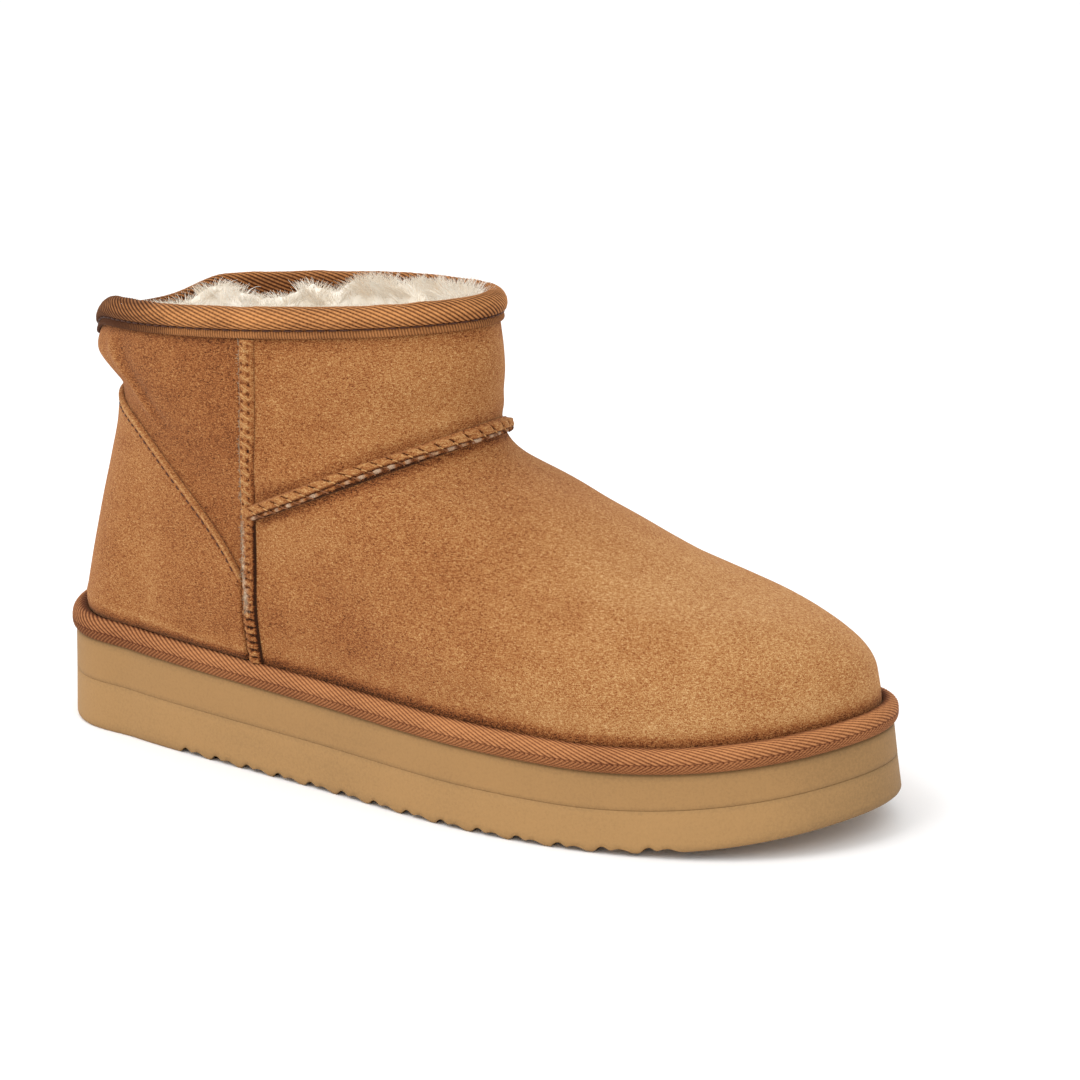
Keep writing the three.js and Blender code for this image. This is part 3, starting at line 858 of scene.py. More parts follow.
def weave(along, across, angle, pitch, float_length):
    """Depth between a twill's ribs: 0 on a rib, 1 between two. They slope by an angle in degrees."""
    angle = np.radians(np.broadcast_to(angle, along.shape))
    turns = np.cumsum(np.sin(angle) * np.gradient(along)) / pitch
    turns *= np.round(turns[-1]) / turns[-1]
    phase = across * np.cos(angle) / pitch - turns
    rib = np.abs(np.sin(np.pi * phase)) ** 1.1
    number = np.floor(phase)
    run = (along * np.cos(angle) + across * np.sin(angle)) / float_length + number / 3
    knot = np.abs(np.cos(np.pi * run)) ** 8
    return 1 - rib * (1 - 0.16 * knot)


def make_piping():
    around = 2200
    u = round_u(around)
    profile = even_curve(PIPING, 27)
    rows = []
    for out, up in profile:
        x, y = plan_outline(u, **sole_shape(1, -out))
        rows.append(np.stack([x, y, sole_top(x) + up], 1))
    outer = np.stack(rows)
    along = reach_along(outer[14])
    height = reach_along(profile)
    wobble = 0.12 * round_noise(u, 90, 0.5, 5)
    outer[..., 2] += wobble * ease(height, 0, 3)[:, None]
    across = height[:, None] + np.zeros(around)
    turn = height[-1] * 0.34
    upper = weave(along, across, 24, 0.95, 2.6)
    lower = weave(along, -across, 34, 0.85, 1.6)
    groove = np.where(across > turn, upper, lower)
    groove = np.maximum(groove, 0.7 * hump(across, turn, 0.18))
    relief = 0.18 * (0.5 - groove) * ease(across, 0, 0.8)
    moved = outer + grid_normals(outer) * relief[..., None]
    moved[0] = outer[0]
    low = FORM.at(u, 0.0, GAP + 0.1)
    high = FORM.at(u, 0.93, GAP + 0.1)
    rings = np.concatenate([low[None], moved, high[None]])
    edge = np.zeros((1, around))
    groove = np.concatenate([edge + 0.5, groove, edge + 0.9])
    # Painted shade on the lower part, which faces down, and on the edge that tucks in under the
    # upper; painted light on the upper part. The piping is also darker round the heel.
    tone = 0.4 - 0.14 * ease(turn - across, -0.3, 0.3)
    tone = tone + 0.12 * ease(across, turn, height[-1] * 0.7)
    tone = tone - 0.25 * hump(u, 0.5, 0.1) + 0.1 * round_noise(u, 46, 0.5, 6)
    tone = np.concatenate([edge, tone - 0.5 * ease(across, height[-1] - 1.3, height[-1]), edge])
    piece = loop_piece("edge_piping", rings, PIPING_TWILL, {"groove": groove, "tone": tone})
    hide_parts("welt_piping")


def make_collar_tape():
    around = 1200
    u = round_u(around)
    # Rows lie closer together where the weave is seen than inside the collar.
    fine = even_curve(TAPE, 400)
    end = reach_along(fine)[-1]
    goal = np.concatenate([np.linspace(0, SEEN_TAPE, 56)[:-1], np.linspace(SEEN_TAPE, end, 4)])
    profile = points_along(fine, goal)
    crest = int(np.argmin(profile[:, 1]))
    outer = np.stack([FORM.below_rim(u, down, out) for out, down in profile])
    along = reach_along(outer[24])
    length = reach_along(profile)
    across = length[:, None] + np.zeros(around)
    # The ribs are flattest in the middle of each side and steepest at the heel and in front.
    away = np.minimum(np.abs(u - 0.24), np.abs(u - 0.76))
    lean = 18 + 22 * ease(away, 0.04, 0.24)
    roll = weave(along, across, lean, 1.05, 2.9)
    strip = weave(along, across, 78, 0.85, 1.3)
    seam = float(np.interp(-STRIP_TOP, -profile[:crest, 1], length[:crest]))
    on_strip = ease(seam - across, -0.1, 0.1)
    groove = (0.2 + 0.55 * strip) * on_strip + roll * (1 - on_strip)
    # Painted shade: a dark line in the furrow of the seam between strip and roll, and another along
    # the tape's lower edge.
    groove = np.maximum(groove, hump(across, seam, 0.22))
    groove = np.maximum(groove, 0.8 * hump(across, 0.35, 0.3))
    relief = 0.2 * (0.5 - groove) * ease(across, 0.2, 1.0) - 0.35 * hump(across, seam, 0.4)
    pucker = 0.2 * round_noise(u, 60, across / 4, 9) * ease(across, seam, seam + 3)
    moved = outer + grid_normals(outer) * (relief + pucker)[..., None]
    seats = ((-WALL - GAP, 6.0), (-WALL - GAP, -GAP), (GAP, -GAP))
    rings = np.concatenate([moved, [FORM.below_rim(u, down, out) for out, down in seats]])
    # Painted light on the face of the roll, painted shade over its crest into the collar and on the
    # strip under the roll; the tape is also darker from the back of the outer side round the heel,
    # and at the front.
    ends = 0.32 * hump(u, 0.46, 0.07) + 0.16 * (hump(u, 0.0, 0.03) + hump(u, 1.0, 0.03))
    top = float(length[crest])
    tone = 0.36 - ends + 0.16 * hump(across, seam + 4.2, 2.2) - 0.22 * ease(across, top, top + 4.0)
    tone = tone - 0.34 * ease(u, 0.27, 0.4) * (1 - ease(u, 0.5, 0.6))
    tone = tone - 0.16 * hump(u, 0.45, 0.1) * ease(length[-1] * 0.2 - across, -2.5, 2.5)
    tone = tone - 0.04 * on_strip + 0.08 * round_noise(u, 40, across / 5, 10)
    tone = np.concatenate([tone, np.zeros((3, around))])
    groove = np.concatenate([groove, np.ones((3, around))])
    piece = loop_piece("collar_tape", rings, TAPE_TWILL, {"groove": groove, "tone": tone})
    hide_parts("collar_binding")
    # Sewing along the seam between strip and roll
    t = np.linspace(-0.5, 0.5, 5)
    place = round_u(TAPE_STITCHES)[:, None] + t * (TAPE_STITCH_LENGTH / along[-1])
    centres = FORM.below_rim(place, STRIP_TOP, 1.05 + 0.3 * np.cos(np.pi * t))
    radii = 0.3 * (1 - (1.7 * t) ** 4 * 0.6)
    stitches = tubes("collar_stitches", centres, radii, 5, THREAD_DARK)


# Suede


# Soft ridges and troughs of the suede, as lines between two places on the form; the tone column
# paints light on the ridges and shade in the troughs
CREASES = table(
    "u0 v0 u1 v1 width height tone",
    (0.40, 7.1, 0.377, 5.8, 2.8, 0.8, 0.12),
    (0.38, 7.2, 0.36, 5.7, 3.4, -0.5, -0.08),
    (0.43, 6.9, 0.42, 6.5, 5.0, 0.7, 0.12),
    (0.30, 4.9, 0.20, 5.3, 3.0, 0.35, 0.05),
    (0.30, 3.0, 0.26, 1.9, 4.0, -0.4, -0.03),
    (0.16, 3.9, 0.10, 3.2, 6.0, -0.35, -0.04),
    (0.24, 2.2, 0.16, 1.7, 5.0, 0.35, 0.04),
    (0.05, 4.2, 0.02, 3.4, 7.0, 0.3, 0.03),
    (0.61, 7.0, 0.64, 5.6, 3.2, 0.7, 0.08),
    (0.72, 3.2, 0.78, 2.1, 5.0, -0.4, -0.06),
    (0.84, 3.7, 0.90, 3.2, 6.0, -0.35, -0.04),
)
FORM_LENGTH = 330.0
LEVEL_HEIGHT = 13.0


def crease_fields(u, v):
    """Height of the creases over the form, and their tone: painted light on the ridges, painted
    shade in the troughs.
    """
    height, tone = np.zeros(u.shape), np.zeros(u.shape)
    for k in range(len(CREASES["u0"])):
        row = {name: column[k] for name, column in CREASES.items()}
        du = (row["u1"] - row["u0"]) * FORM_LENGTH
        dv = (row["v1"] - row["v0"]) * LEVEL_HEIGHT
        a, b = (u - row["u0"]) * FORM_LENGTH, (v - row["v0"]) * LEVEL_HEIGHT
        share = np.clip((a * du + b * dv) / (du * du + dv * dv), 0, 1)
        distance = np.hypot(a - share * du, b - share * dv)
        shape = hump(distance, 0, row["width"])
        height += row["height"] * shape
        tone += row["tone"] * shape
    return height, tone


def panel_tone(points):
    """Tone of each panel of the upper at points of its face; the vamp's top and the part towards the
    toe are lighter with painted light.
    """
    x, z = points[..., 0], points[..., 2]
    rear = ease(seam_x(z) - x, -1, 1)
    vamp = ease(instep_line(x) - z, -1, 1) * (1 - rear)
    shaft = (1 - rear) * (1 - vamp)
    shaft_tone = 0.46 + 0.08 * ease(x, -45, 0) - 0.06 * ease(100 - z, 0, 25)
    # Painted light on the vamp's top and towards the toe
    vamp_tone = 0.42 + 0.2 * ease(x, 0, 100) + 0.06 * ease(z, 45, 75)
    return 0.34 * rear + shaft_tone * shaft + vamp_tone * vamp


def burnish(points):
    """Darker band just above the piping."""
    above = points[..., 2] - sole_top(points[..., 0]) - PIPING_HEIGHT
    return 0.3 * (1 - ease(above, 0.3, 4.0)) - 0.05 * hump(above, 6.0, 2.5)


def seam_distance(points):
    """Distance from the nearest of the seams that cross the upper, seen from the side."""
    x, z = points[..., 0], points[..., 2]
    side = np.abs(x - seam_x(z))
    instep = np.where(x > seam_x(z), np.abs(z - instep_line(x) - INSTEP_WIDTH / 2) * 0.9, 99)
    counter = np.where(x < seam_x(z), np.abs(z - counter_line(np.clip(x, -150, -48))), 99)
    return np.minimum(np.minimum(side, instep), counter)


def make_upper():
    around, levels = 420, 126
    u = round_u(around)
    v = np.linspace(0, TOP, levels)
    uu, vv = np.meshgrid(u, v)
    points = FORM.at(uu, vv)
    swell = 0.4 * round_noise(uu, 14, vv * 1.1, 3)
    swell += 0.18 * round_noise(uu, 34, vv * 2.7, 4)
    # The creases' tone is painted light on ridges and painted shade in troughs.
    height, crease_light_and_shade = crease_fields(uu, vv)
    free = ease(seam_distance(points), 2.5, 8.0)
    swell = swell * free + height * (0.3 + 0.7 * free)
    swell = swell * ease(vv, 1.0, 2.0) * (1 - ease(vv, 7.2, 7.7))
    x, z = points[..., 0], points[..., 2]
    above = z - instep_line(x) - INSTEP_WIDTH
    in_front = ease(x - seam_x(z), 3, 6)
    swell = swell + in_front * (0.45 * hump(above, 4.5, 2.6) - 0.3 * hump(above, 0.8, 1.2))
    outer = FORM.at(uu, vv, swell)
    inner_v = np.linspace(TOP, 0, 28)
    inner = FORM.at(*np.meshgrid(u, inner_v), -WALL)
    tone = panel_tone(points) - burnish(points) + crease_light_and_shade
    # Painted shadow on the suede just under the instep band, painted shade in the fold just above
    # it, and painted shade near the top, under and just below the collar tape.
    under = hump(z - instep_line(x), -1.0, 1.2)
    tone = tone - in_front * (0.14 * hump(above, 1.0, 1.3) + 0.3 * under)
    tone = tone - 0.1 * ease(vv, 7.3, 7.6)
    tone = np.concatenate([tone, np.full((len(inner_v), around), 0.5)])
    rings = np.concatenate([outer, inner])
    piece = loop_piece("suede_upper", rings, SUEDE, {"tone": tone})
    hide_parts("upper")


def make_heel_counter():
    columns, rows = 400, 60
    levels = np.linspace(0, TOP, 65)
    ends = [seam_u(levels, -SEAM_HALF_WIDTH - GAP, side) for side in (-1, 1)]
    a = np.linspace(0, 1, columns)[None, :]
    # Rows are closest together near the top edge.
    b = 1 - np.linspace(1, 0, rows)[:, None] ** 1.9
    v = np.full((rows, columns), 2.0)
    for _ in range(6):
        start = np.interp(v, levels, ends[0])
        stop = np.interp(v, levels, ends[1])
        u = start + (stop - start) * a
        fine_u = np.linspace(u.min(), u.max(), 700)
        low = level_above(sole_top, fine_u, OVERLAY_FOOT)
        high = level_above(counter_line, fine_u)
        v = np.interp(u, fine_u, low) * (1 - b) + np.interp(u, fine_u, high) * b
    face = FORM.at(u, v)
    down = (counter_line(face[..., 0]) - face[..., 2]) * 0.8
    lip = 0.28 * hump(down, 0.75, 0.6) - 0.16 * hump(down, 2.0, 0.35)
    edges = ease(down, -0.01, 0.4) * ease(np.minimum(a, 1 - a) * 200, 0, 0.6)
    above = face[..., 2] - sole_top(face[..., 0]) - PIPING_HEIGHT
    crease = 0.45 * hump(above, 3.6, 1.0) - 0.2 * hump(above, 2.0, 0.7)
    thickness = COUNTER_THICKNESS * (0.4 + 0.6 * edges) + lip + crease
    thickness *= 0.4 + 0.6 * ease(above, 0.0, 1.2)
    broad = value_noise(u * 30 + 20, v * 2.2, 51)
    # Painted light on the raised lip at the top edge and on the crease above the foot, painted shade
    # in the furrow below the lip, and painted sheen from the back of the heel round to the inner
    # side. The counter is also darker at its foot.
    tone = 0.42 + 0.17 * hump(down, 0.75, 0.6) - 0.14 * hump(down, 2.0, 0.4) + 0.04 * broad
    tone += 0.12 * hump(above, 3.6, 0.8) - 0.28 * (1 - ease(above, 1.2, 3.0))
    tone += 0.05 * ease(u, 0.36, 0.46)
    top = FORM.at(u, v, GAP + thickness)
    bottom = FORM.at(u, v, GAP * 0.5)
    piece = band_piece("suede_heel_counter", top, bottom, SUEDE, {"tone": tone}, under=8)
    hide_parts("heel_counter")
    # Sewing below the counter's top edge
    line_u = np.linspace(u[-1].min() + 0.004, u[-1].max() - 0.004, 900)
    line_v = level_above(counter_line, line_u, -2.5)
    reach = reach_along(FORM.at(line_u, line_v))
    start = np.arange(2.0, reach[-1] - 2.0, COUNTER_STITCH_PITCH)
    t = np.linspace(-0.5, 0.5, 5)
    place = start[:, None] + COUNTER_STITCH_LENGTH * t
    place_u = np.interp(place, reach, line_u)
    lift = GAP + COUNTER_THICKNESS - 0.12 + 0.16 * np.cos(np.pi * t)
    centres = FORM.at(place_u, np.interp(place, reach, line_v), lift)
    stitches = tubes("counter_stitches", centres, 0.2, 5, THREAD_DARK)


def make_side_seam(side):
    columns, rows = (760, 30) if side < 0 else (340, 20)
    place = 0.34 if side < 0 else 0.66
    low = float(level_above(sole_top, np.array([place]), OVERLAY_FOOT - 0.3)[0])
    high = float(FORM.level(place, TAPE_DROP - 0.4))
    v = np.linspace(low, high, columns)
    c = np.linspace(-1, 1, rows)[:, None]
    u = np.stack([seam_u(v, k * SEAM_HALF_WIDTH, side) for k in c[:, 0]])
    v = v + np.zeros(u.shape)
    face = FORM.at(u, v)
    middle = face[rows // 2]
    along = reach_along(middle)[None, :]
    foot = instep_line(middle[:, 0])[None, :]
    floor = middle[0, 2]
    share = (face[..., 2] - floor) / (foot - floor)
    below = 1 - ease(share, 0.97, 1.05)
    rough = value_noise(c * 2.4 + 9, along / 1.1, 11)
    fine = value_noise(c * 5 + 19, along / 0.5, 13)
    # Above the instep: two rows of holes with slanted threads between them
    turn = 2 * np.pi * (along / HOLE_PITCH + 0.2 * c)
    holes = (0.5 + 0.5 * np.cos(turn)) ** 2
    holes = holes * (hump(c, 0.42, 0.2) + 0.6 * hump(c, -0.5, 0.2))
    threads = (0.5 + 0.5 * np.cos(turn + np.pi * 0.9)) * hump(c, 0.0, 0.6)
    upper_lift = 1.15 * (1 - np.abs(c) ** 4) - 0.5 * holes + 0.2 * threads + 0.14 * rough
    # Painted shade in the holes and along both edges of the band.
    upper_tone = 0.5 + 0.1 * threads - 0.5 * holes + 0.1 * rough + 0.1 * fine
    upper_tone = upper_tone - 0.3 * hump(c, 0.95, 0.16) * ease(2.0 - share, 0.0, 1.0)
    upper_tone = upper_tone - 0.16 * hump(c, -1, 0.16)
    # Below it: a rope of fleece on the left, sewn leather on the right, folds near the sole
    cuts = (0.5 + 0.5 * np.cos(2 * np.pi * (along / ROPE_PITCH + 0.12 * c))) ** 3
    folds = ease(0.42 - share, 0.0, 0.08)
    fleece_at = -0.5 + 0.45 * ease(0.68 - share, 0.0, 0.2)
    fleece = hump(c, fleece_at, 0.3) * below * (1 - folds) * ease(rough + 0.75, 0.0, 0.6)
    rope = np.sqrt(np.maximum(1 - (c / 1.02) ** 2, 0))
    lower_lift = 1.7 * rope - 0.35 * cuts * (hump(c, 0.35, 0.4) + folds) + 0.25 * rough
    lower_lift = lower_lift + 0.3 * hump(c, fleece_at, 0.3) - 0.8 * hump(c, 0.92, 0.14)
    # Painted shade in the cuts and folds and at the left edge, and a painted shadow line along the
    # right edge, where the vamp meets the band.
    lower_tone = 0.46 - 0.34 * cuts * (hump(c, 0.35, 0.35) + folds) + 0.12 * rough + 0.12 * fine
    lower_tone = lower_tone - 0.75 * ease(c, 0.72, 0.9) - 0.25 * hump(c, -1.0, 0.14)
    lift = upper_lift * (1 - below) + lower_lift * below
    tone = upper_tone * (1 - below) + lower_tone * below
    lift = lift * (0.45 + 0.55 * ease(along[0, -1] - along, 0.0, 1.2))
    pale = np.clip(fleece * (0.75 + 0.5 * fine), 0, 1)
    pale = np.maximum(pale, 0.16 * hump(c, -0.92, 0.14) * (1 - below) * ease(rough, -0.1, 0.5))
    top = FORM.at(u, v, GAP + np.maximum(lift, 0.05))
    bottom = FORM.at(u, v, SEWN_GAP)
    name = "outer" if side < 0 else "inner"
    piece = band_piece(f"side_seam_band_{name}", top, bottom, SUEDE, {"tone": tone, "pale": pale})
    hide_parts("side_seam_lateral" if side < 0 else "side_seam_medial")
    # Loose fleece and sewing thread along the seam
    rng = np.random.default_rng(71 if side < 0 else 72)
    count = 420 if side < 0 else 120
    where = rng.uniform(0, 1, count)
    column = (where * (columns - 1)).astype(int)
    is_low = below[rows // 2, column] > 0.5
    spread = rng.normal(0, 0.16, count)
    at_c = np.where(is_low, fleece_at[0, column] + spread, -0.95 + 0.4 * spread)
    row = ((at_c + 1) / 2 * (rows - 1)).clip(0, rows - 1).astype(int)
    base = top[row, column]
    after, before = np.minimum(column + 4, columns - 1), np.maximum(column - 4, 0)
    ahead = unit(top[row, after] - top[row, before])
    normal = FORM.normal(u[row, column], v[row, column])
    aside = np.cross(normal, ahead)
    keep = np.ones(count, bool)
    keep[is_low] = share[rows // 2, column[is_low]] > 0.36
    length = rng.uniform(0.5, 1.3, count)[:, None, None]
    t = np.linspace(0, 1, 4)[None, :, None]
    heading = ahead * rng.normal(0, 0.8, (count, 1)) + aside * rng.normal(0, 0.5, (count, 1))
    heading = heading + normal * rng.uniform(0.1, 0.6, (count, 1))
    bend = rng.normal(0, 0.2, (count, 1, 3))
    centres = base[:, None] + heading[:, None] * t * length + bend * np.sin(np.pi * t)
    radii = 0.1 * (1 - 0.7 * np.linspace(0, 1, 4))
    hairs = tubes(f"seam_fleece_{name}", centres[keep], radii, 3, THREAD_GREY)
    # Slanted threads between the holes, above the instep
    start = (np.arange(int(along[0, -1] / HOLE_PITCH)) + 0.62) * HOLE_PITCH
    k = np.interp(start, along[0], np.arange(columns)).astype(int)
    k = k[share[rows // 2, k] > 1.1]
    t = np.linspace(-1, 1, 6)
    cc = 0.5 * t[None, :] + np.zeros((len(k), 1))
    kk = np.clip(k[:, None] - np.round(5 * t)[None, :].astype(int), 0, columns - 1)
    rr = np.round((cc + 1) / 2 * (rows - 1)).astype(int)
    arch = 0.22 * (1 - t**2) - 0.06
    centres = top[rr, kk] + FORM.normal(u[rr, kk], v[rr, kk]) * arch[:, None]
    sewn = tubes(f"seam_threads_{name}", centres, 0.17, 5, THREAD_GOLD)


def make_instep_band():
    columns, rows = 1150, 25
    level = float(level_above(instep_line, np.array([0.33]), 2.0)[0])
    ends = [seam_u(np.array([level]), SEAM_HALF_WIDTH + GAP, side)[0] for side in (-1, 1)]
    u = np.linspace(ends[0], ends[1] - 1.0, columns)
    up = np.linspace(0.0, INSTEP_WIDTH, rows)[:, None]
    v = np.stack([level_above(instep_line, u, h) for h in up[:, 0]])
    uu = np.broadcast_to(u, v.shape)
    along = reach_along(FORM.at(u, v[rows // 2]))[None, :]
    rough = value_noise(along / 1.2, up / 0.8, 15)
    # The band above, a furrow of painted shade, and the rope of fleece at its foot
    plate = ease(up, 1.3, 2.0) * (1 - 0.75 * ease(up, INSTEP_WIDTH - 1.0, INSTEP_WIDTH))
    slant = along / SLOT_PITCH + (up - 1.6) * 0.16
    from_slot = np.abs(slant - np.round(slant)) * SLOT_PITCH
    slot = hump(from_slot, 0, 0.26) * ease(up, 2.3, 2.8) * (1 - ease(up, 4.0, 4.7))
    puff = 0.5 + 0.5 * np.cos(2 * np.pi * (slant - 0.5))
    lift = 1.2 + plate * (1.0 + 0.25 * puff) - 0.6 * slot + 0.12 * rough
    lift = lift * (0.3 + 0.7 * ease(up, 0.0, 0.7))
    lift = lift * (0.25 + 0.75 * ease(INSTEP_WIDTH - up, 0, 1.0))
    # Painted shade in the slots, in the furrow and along the top edge, a painted shadow line along
    # the foot, and painted light on the puffs between the slots.
    tone = 0.5 - 0.5 * slot - 0.45 * hump(up, 1.45, 0.3) + 0.08 * puff * plate + 0.08 * rough
    tone = tone - 0.55 * (1 - ease(up, 0.2, 0.9)) - 0.16 * ease(up, 4.5, 5.2)
    top = FORM.at(uu, v, GAP + np.maximum(lift, 0.05))
    bottom = FORM.at(uu, v, SEWN_GAP)
    piece = band_piece("instep_band", top, bottom, SUEDE, {"tone": tone})
    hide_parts("instep_seam")
    # Rope of fleece with brown thread round it
    rope_v = level_above(instep_line, u, 0.85)
    irregular = value_noise(along[0] / 2.0, 0.5, 17)
    beads = 0.5 + 0.5 * np.cos(2 * np.pi * (along[0] / SLOT_PITCH - 0.5) + 1.2 * irregular)
    centre = FORM.at(u, rope_v, 1.5 + 0.2 * irregular)
    radius = 0.46 + 0.12 * beads + 0.12 * irregular
    shown = ease(beads + 0.9 * irregular, 0.4, 1.3)
    values = {"tone": (0.22 + 0.25 * beads)[None], "pale": np.clip(shown * 0.75, 0, 1)[None]}
    rope = tubes("instep_rope", centre[None], radius[None], 7, SUEDE, values)
    start = (np.arange(int(along[0, -1] / SLOT_PITCH)) + 0.95) * SLOT_PITCH
    t = np.linspace(0, 1, 6)[None, :]
    for name, low, high, out, material in (
        ("instep_thread_ends", 1.5, 2.6, 2.5, THREAD_GOLD),
        ("instep_thread_wraps", 0.0, 1.6, 2.25, THREAD_BROWN),
    ):
        height = low + (high - low) * t + 0 * start[:, None]
        place = start[:, None] - (height - 1.6) * 0.16 * SLOT_PITCH
        place_u = np.interp(place, along[0], u)
        level, above = (
            level_above(instep_line, place_u.ravel(), up).reshape(height.shape)
            for up in (0.0, 3.0)
        )
        level = level + (above - level) * height / 3.0
        arch = out - 0.9 * np.abs(2 * t - 1) ** 3 * (low == 0)
        threads = tubes(name, FORM.at(place_u, level, arch), 0.22, 5, material)


def make_back_tab():
    width, tip_width, height = 7.0, 1.5, 6.5
    rows, columns = 24, 40
    t = np.linspace(0, 1, rows)[:, None]
    s = np.linspace(-1, 1, columns)[None, :]
    down = TAPE_DROP - 1.0 + (height + 1.0) * t + 0 * s
    half = (width + (tip_width - width) * t) / COLLAR_LENGTH
    u = 0.5 - s * half + 0.004
    v = FORM.level(u, down)
    groove = 0.5 + 0.5 * np.sin(2 * np.pi * (down * 0.8 + s * 3.0) / 1.1)
    edge = (1 - np.abs(s) ** 6) * (1 - t**8)
    top = FORM.at(u, v, GAP + 0.2 + 1.0 * edge - 0.12 * groove)
    bottom = FORM.at(u, v, SEWN_GAP)
    tone = np.full(down.shape, 0.45)
    piece = band_piece("back_tab_twill", top, bottom, TAPE_TWILL, {"tone": tone, "groove": groove})
    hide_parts("back_tab")


# Wool


# Section of the wool at the collar, from its outer wall over the top to its inner wall
WOOL_TOP = table(
    "out down",
    (-4.4, 8.0),
    (-4.6, 5.0),
    (-5.0, 2.6),
    (-6.4, 0.9),
    (-8.6, 0.4),
    (-11.0, 1.8),
    (-12.0, 4.8),
    (-12.0, 9.0),
)

# Height of the tips of the wool above the rim, going round from the toe side
WOOL_TIPS = table(
    "u rise",
    (0.0, 1.8), (0.06, 1.6), (0.2, 1.7), (0.34, 1.8), (0.41, 0.8), (0.45, -1.0), (0.5, -0.5),
    (0.54, 1.2), (0.565, 1.8), (0.585, 1.6), (0.605, 1.2), (0.622, -1.5), (0.65, -5.0),
    (0.68, -3.6), (0.705, -0.4), (0.722, -2.4), (0.74, -2.2), (0.757, 1.2), (0.775, 3.2),
    (0.8, 2.0), (0.818, 0.8), (0.84, 1.8), (0.87, 3.2), (0.91, 3.6), (0.95, 2.8), (1.0, 1.8),
)


def wool_sink(u):
    """How far the wool's crown lies below its usual height."""
    tips = np.interp(turn_round(u), WOOL_TIPS["u"], WOOL_TIPS["rise"])
    return np.clip(0.4 - tips, 0, 5.5)


def wool_lumps(u, at, seed):
    """Clumps of wool, round heads with valleys between them."""
    fine = np.abs(round_noise(u, 170, at / 2.2, seed))
    broad = np.abs(round_noise(u, 64, at / 6.0, seed + 1))
    return 1.0 * (broad - 0.3) + 0.5 * (fine - 0.3)


def make_wool_lining():
    around = 520
    u = round_u(around)
    top = even_curve(WOOL_TOP, 26)
    sink = wool_sink(u)
    crown = np.stack(
        [FORM.below_rim(u, down + sink * (1 - ease(down, 2.5, 8.0)), out) for out, down in top]
    )
    wall_v = np.linspace(FORM.level(0.3, 12.0).item(), 0.95, 28)
    thick = 8.0 + 4.0 * ease(wall_v, 4.5, 7.0)
    wall = np.stack([FORM.at(u, v, -t) for v, t in zip(wall_v, thick)])
    back_v = np.linspace(0.95, FORM.level(0.3, 9.0).item(), 10)
    back = np.stack([FORM.at(u, v, -WALL - GAP - 0.2) for v in back_v])
    inner = np.concatenate([crown, wall])
    at = np.concatenate([reach_along(top), 26 + 3.3 * np.arange(len(wall_v))])[:, None]
    lumps = wool_lumps(u[None, :], at, 21) * ease(at, 2.0, 8.0)
    inner = inner + grid_normals(inner) * lumps[..., None]
    rings = np.concatenate([inner, back])
    # Painted light on the heads of the lumps, painted shade in the valleys between them.
    tone = 0.6 + 0.15 * lumps
    tone = np.concatenate([tone, np.full((len(back_v), around), 0.5)])
    piece = loop_piece("wool_lining", rings, WOOL, {"tone": tone})
    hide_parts("shearling_lining")


def make_wool_fibres(name, count, seed, low, high):
    """Fibres that stand on the wool between two places u."""
    rng = np.random.default_rng(seed)
    u = rng.uniform(low, high, count)
    place = rng.uniform(0, 1, count) ** 0.85
    out = -5.2 - 6.8 * place
    # Locks: fibres of one clump lean the same way and end together.
    clump = round_noise(u, 90, out / 3, seed + 5)
    clump2 = value_noise(u * 90 + 17, out / 3, seed + 6, wrap=90)
    base = FORM.below_rim(u, 2.0 + rng.uniform(-0.5, 1.5, count), out)
    up = FORM.sample(FORM.up, u, np.full(count, float(TOP)))
    normal = FORM.normal(u, np.full(count, float(TOP)))
    around = np.cross(up, normal)
    lean_in = 0.25 - 1.2 * (np.maximum(place, 0.25) - 0.35) + 0.8 * clump
    lean_in = lean_in + rng.normal(0, 0.16, count)
    lean_round = 1.0 * clump2 + rng.normal(0, 0.2, count)
    length = rng.uniform(6.5, 10.5, count) * (0.85 + 0.3 * np.abs(clump))
    t = np.linspace(0, 1, 4)[:, None]
    direction = unit(up + normal * lean_in[:, None] + around * lean_round[:, None])
    curl = rng.normal(0, 0.35, (count, 3))
    centres = base[:, None] + direction[:, None] * t * length[:, None, None]
    centres = centres + curl[:, None] * np.sin(np.pi * t) - up[:, None] * 1.6 * t**2
    # Every fibre slides down until its tip ends where the wool's outline is.
    rim = FORM.at(u, float(TOP), out)
    height = np.einsum("ni,ni->n", centres[:, -1] - rim, up)
    ragged = rng.exponential(0.8, count)
    wave = 1.0 * round_noise(u, 130, 0.5, seed + 7)
    goal = np.interp(u, WOOL_TIPS["u"], WOOL_TIPS["rise"]) + wave + 0.6 - ragged
    goal = goal - 1.2 * (place < 0.12)
    centres = centres - up[:, None] * np.maximum(height - goal, 0)[:, None, None]
    radii = 0.12 * (1 - 0.75 * t[:, 0]) * rng.uniform(0.7, 1.3, (count, 1))
    tone = 0.72 + 0.22 * clump + rng.normal(0, 0.1, count) - 0.25 * hump(out, -8.5, 1.5)
    tone = tone[:, None] + 0.2 * (t[:, 0] - 0.7)
    piece = tubes(name, centres, radii, 3, WOOL_TUFTS, {"tone": tone})


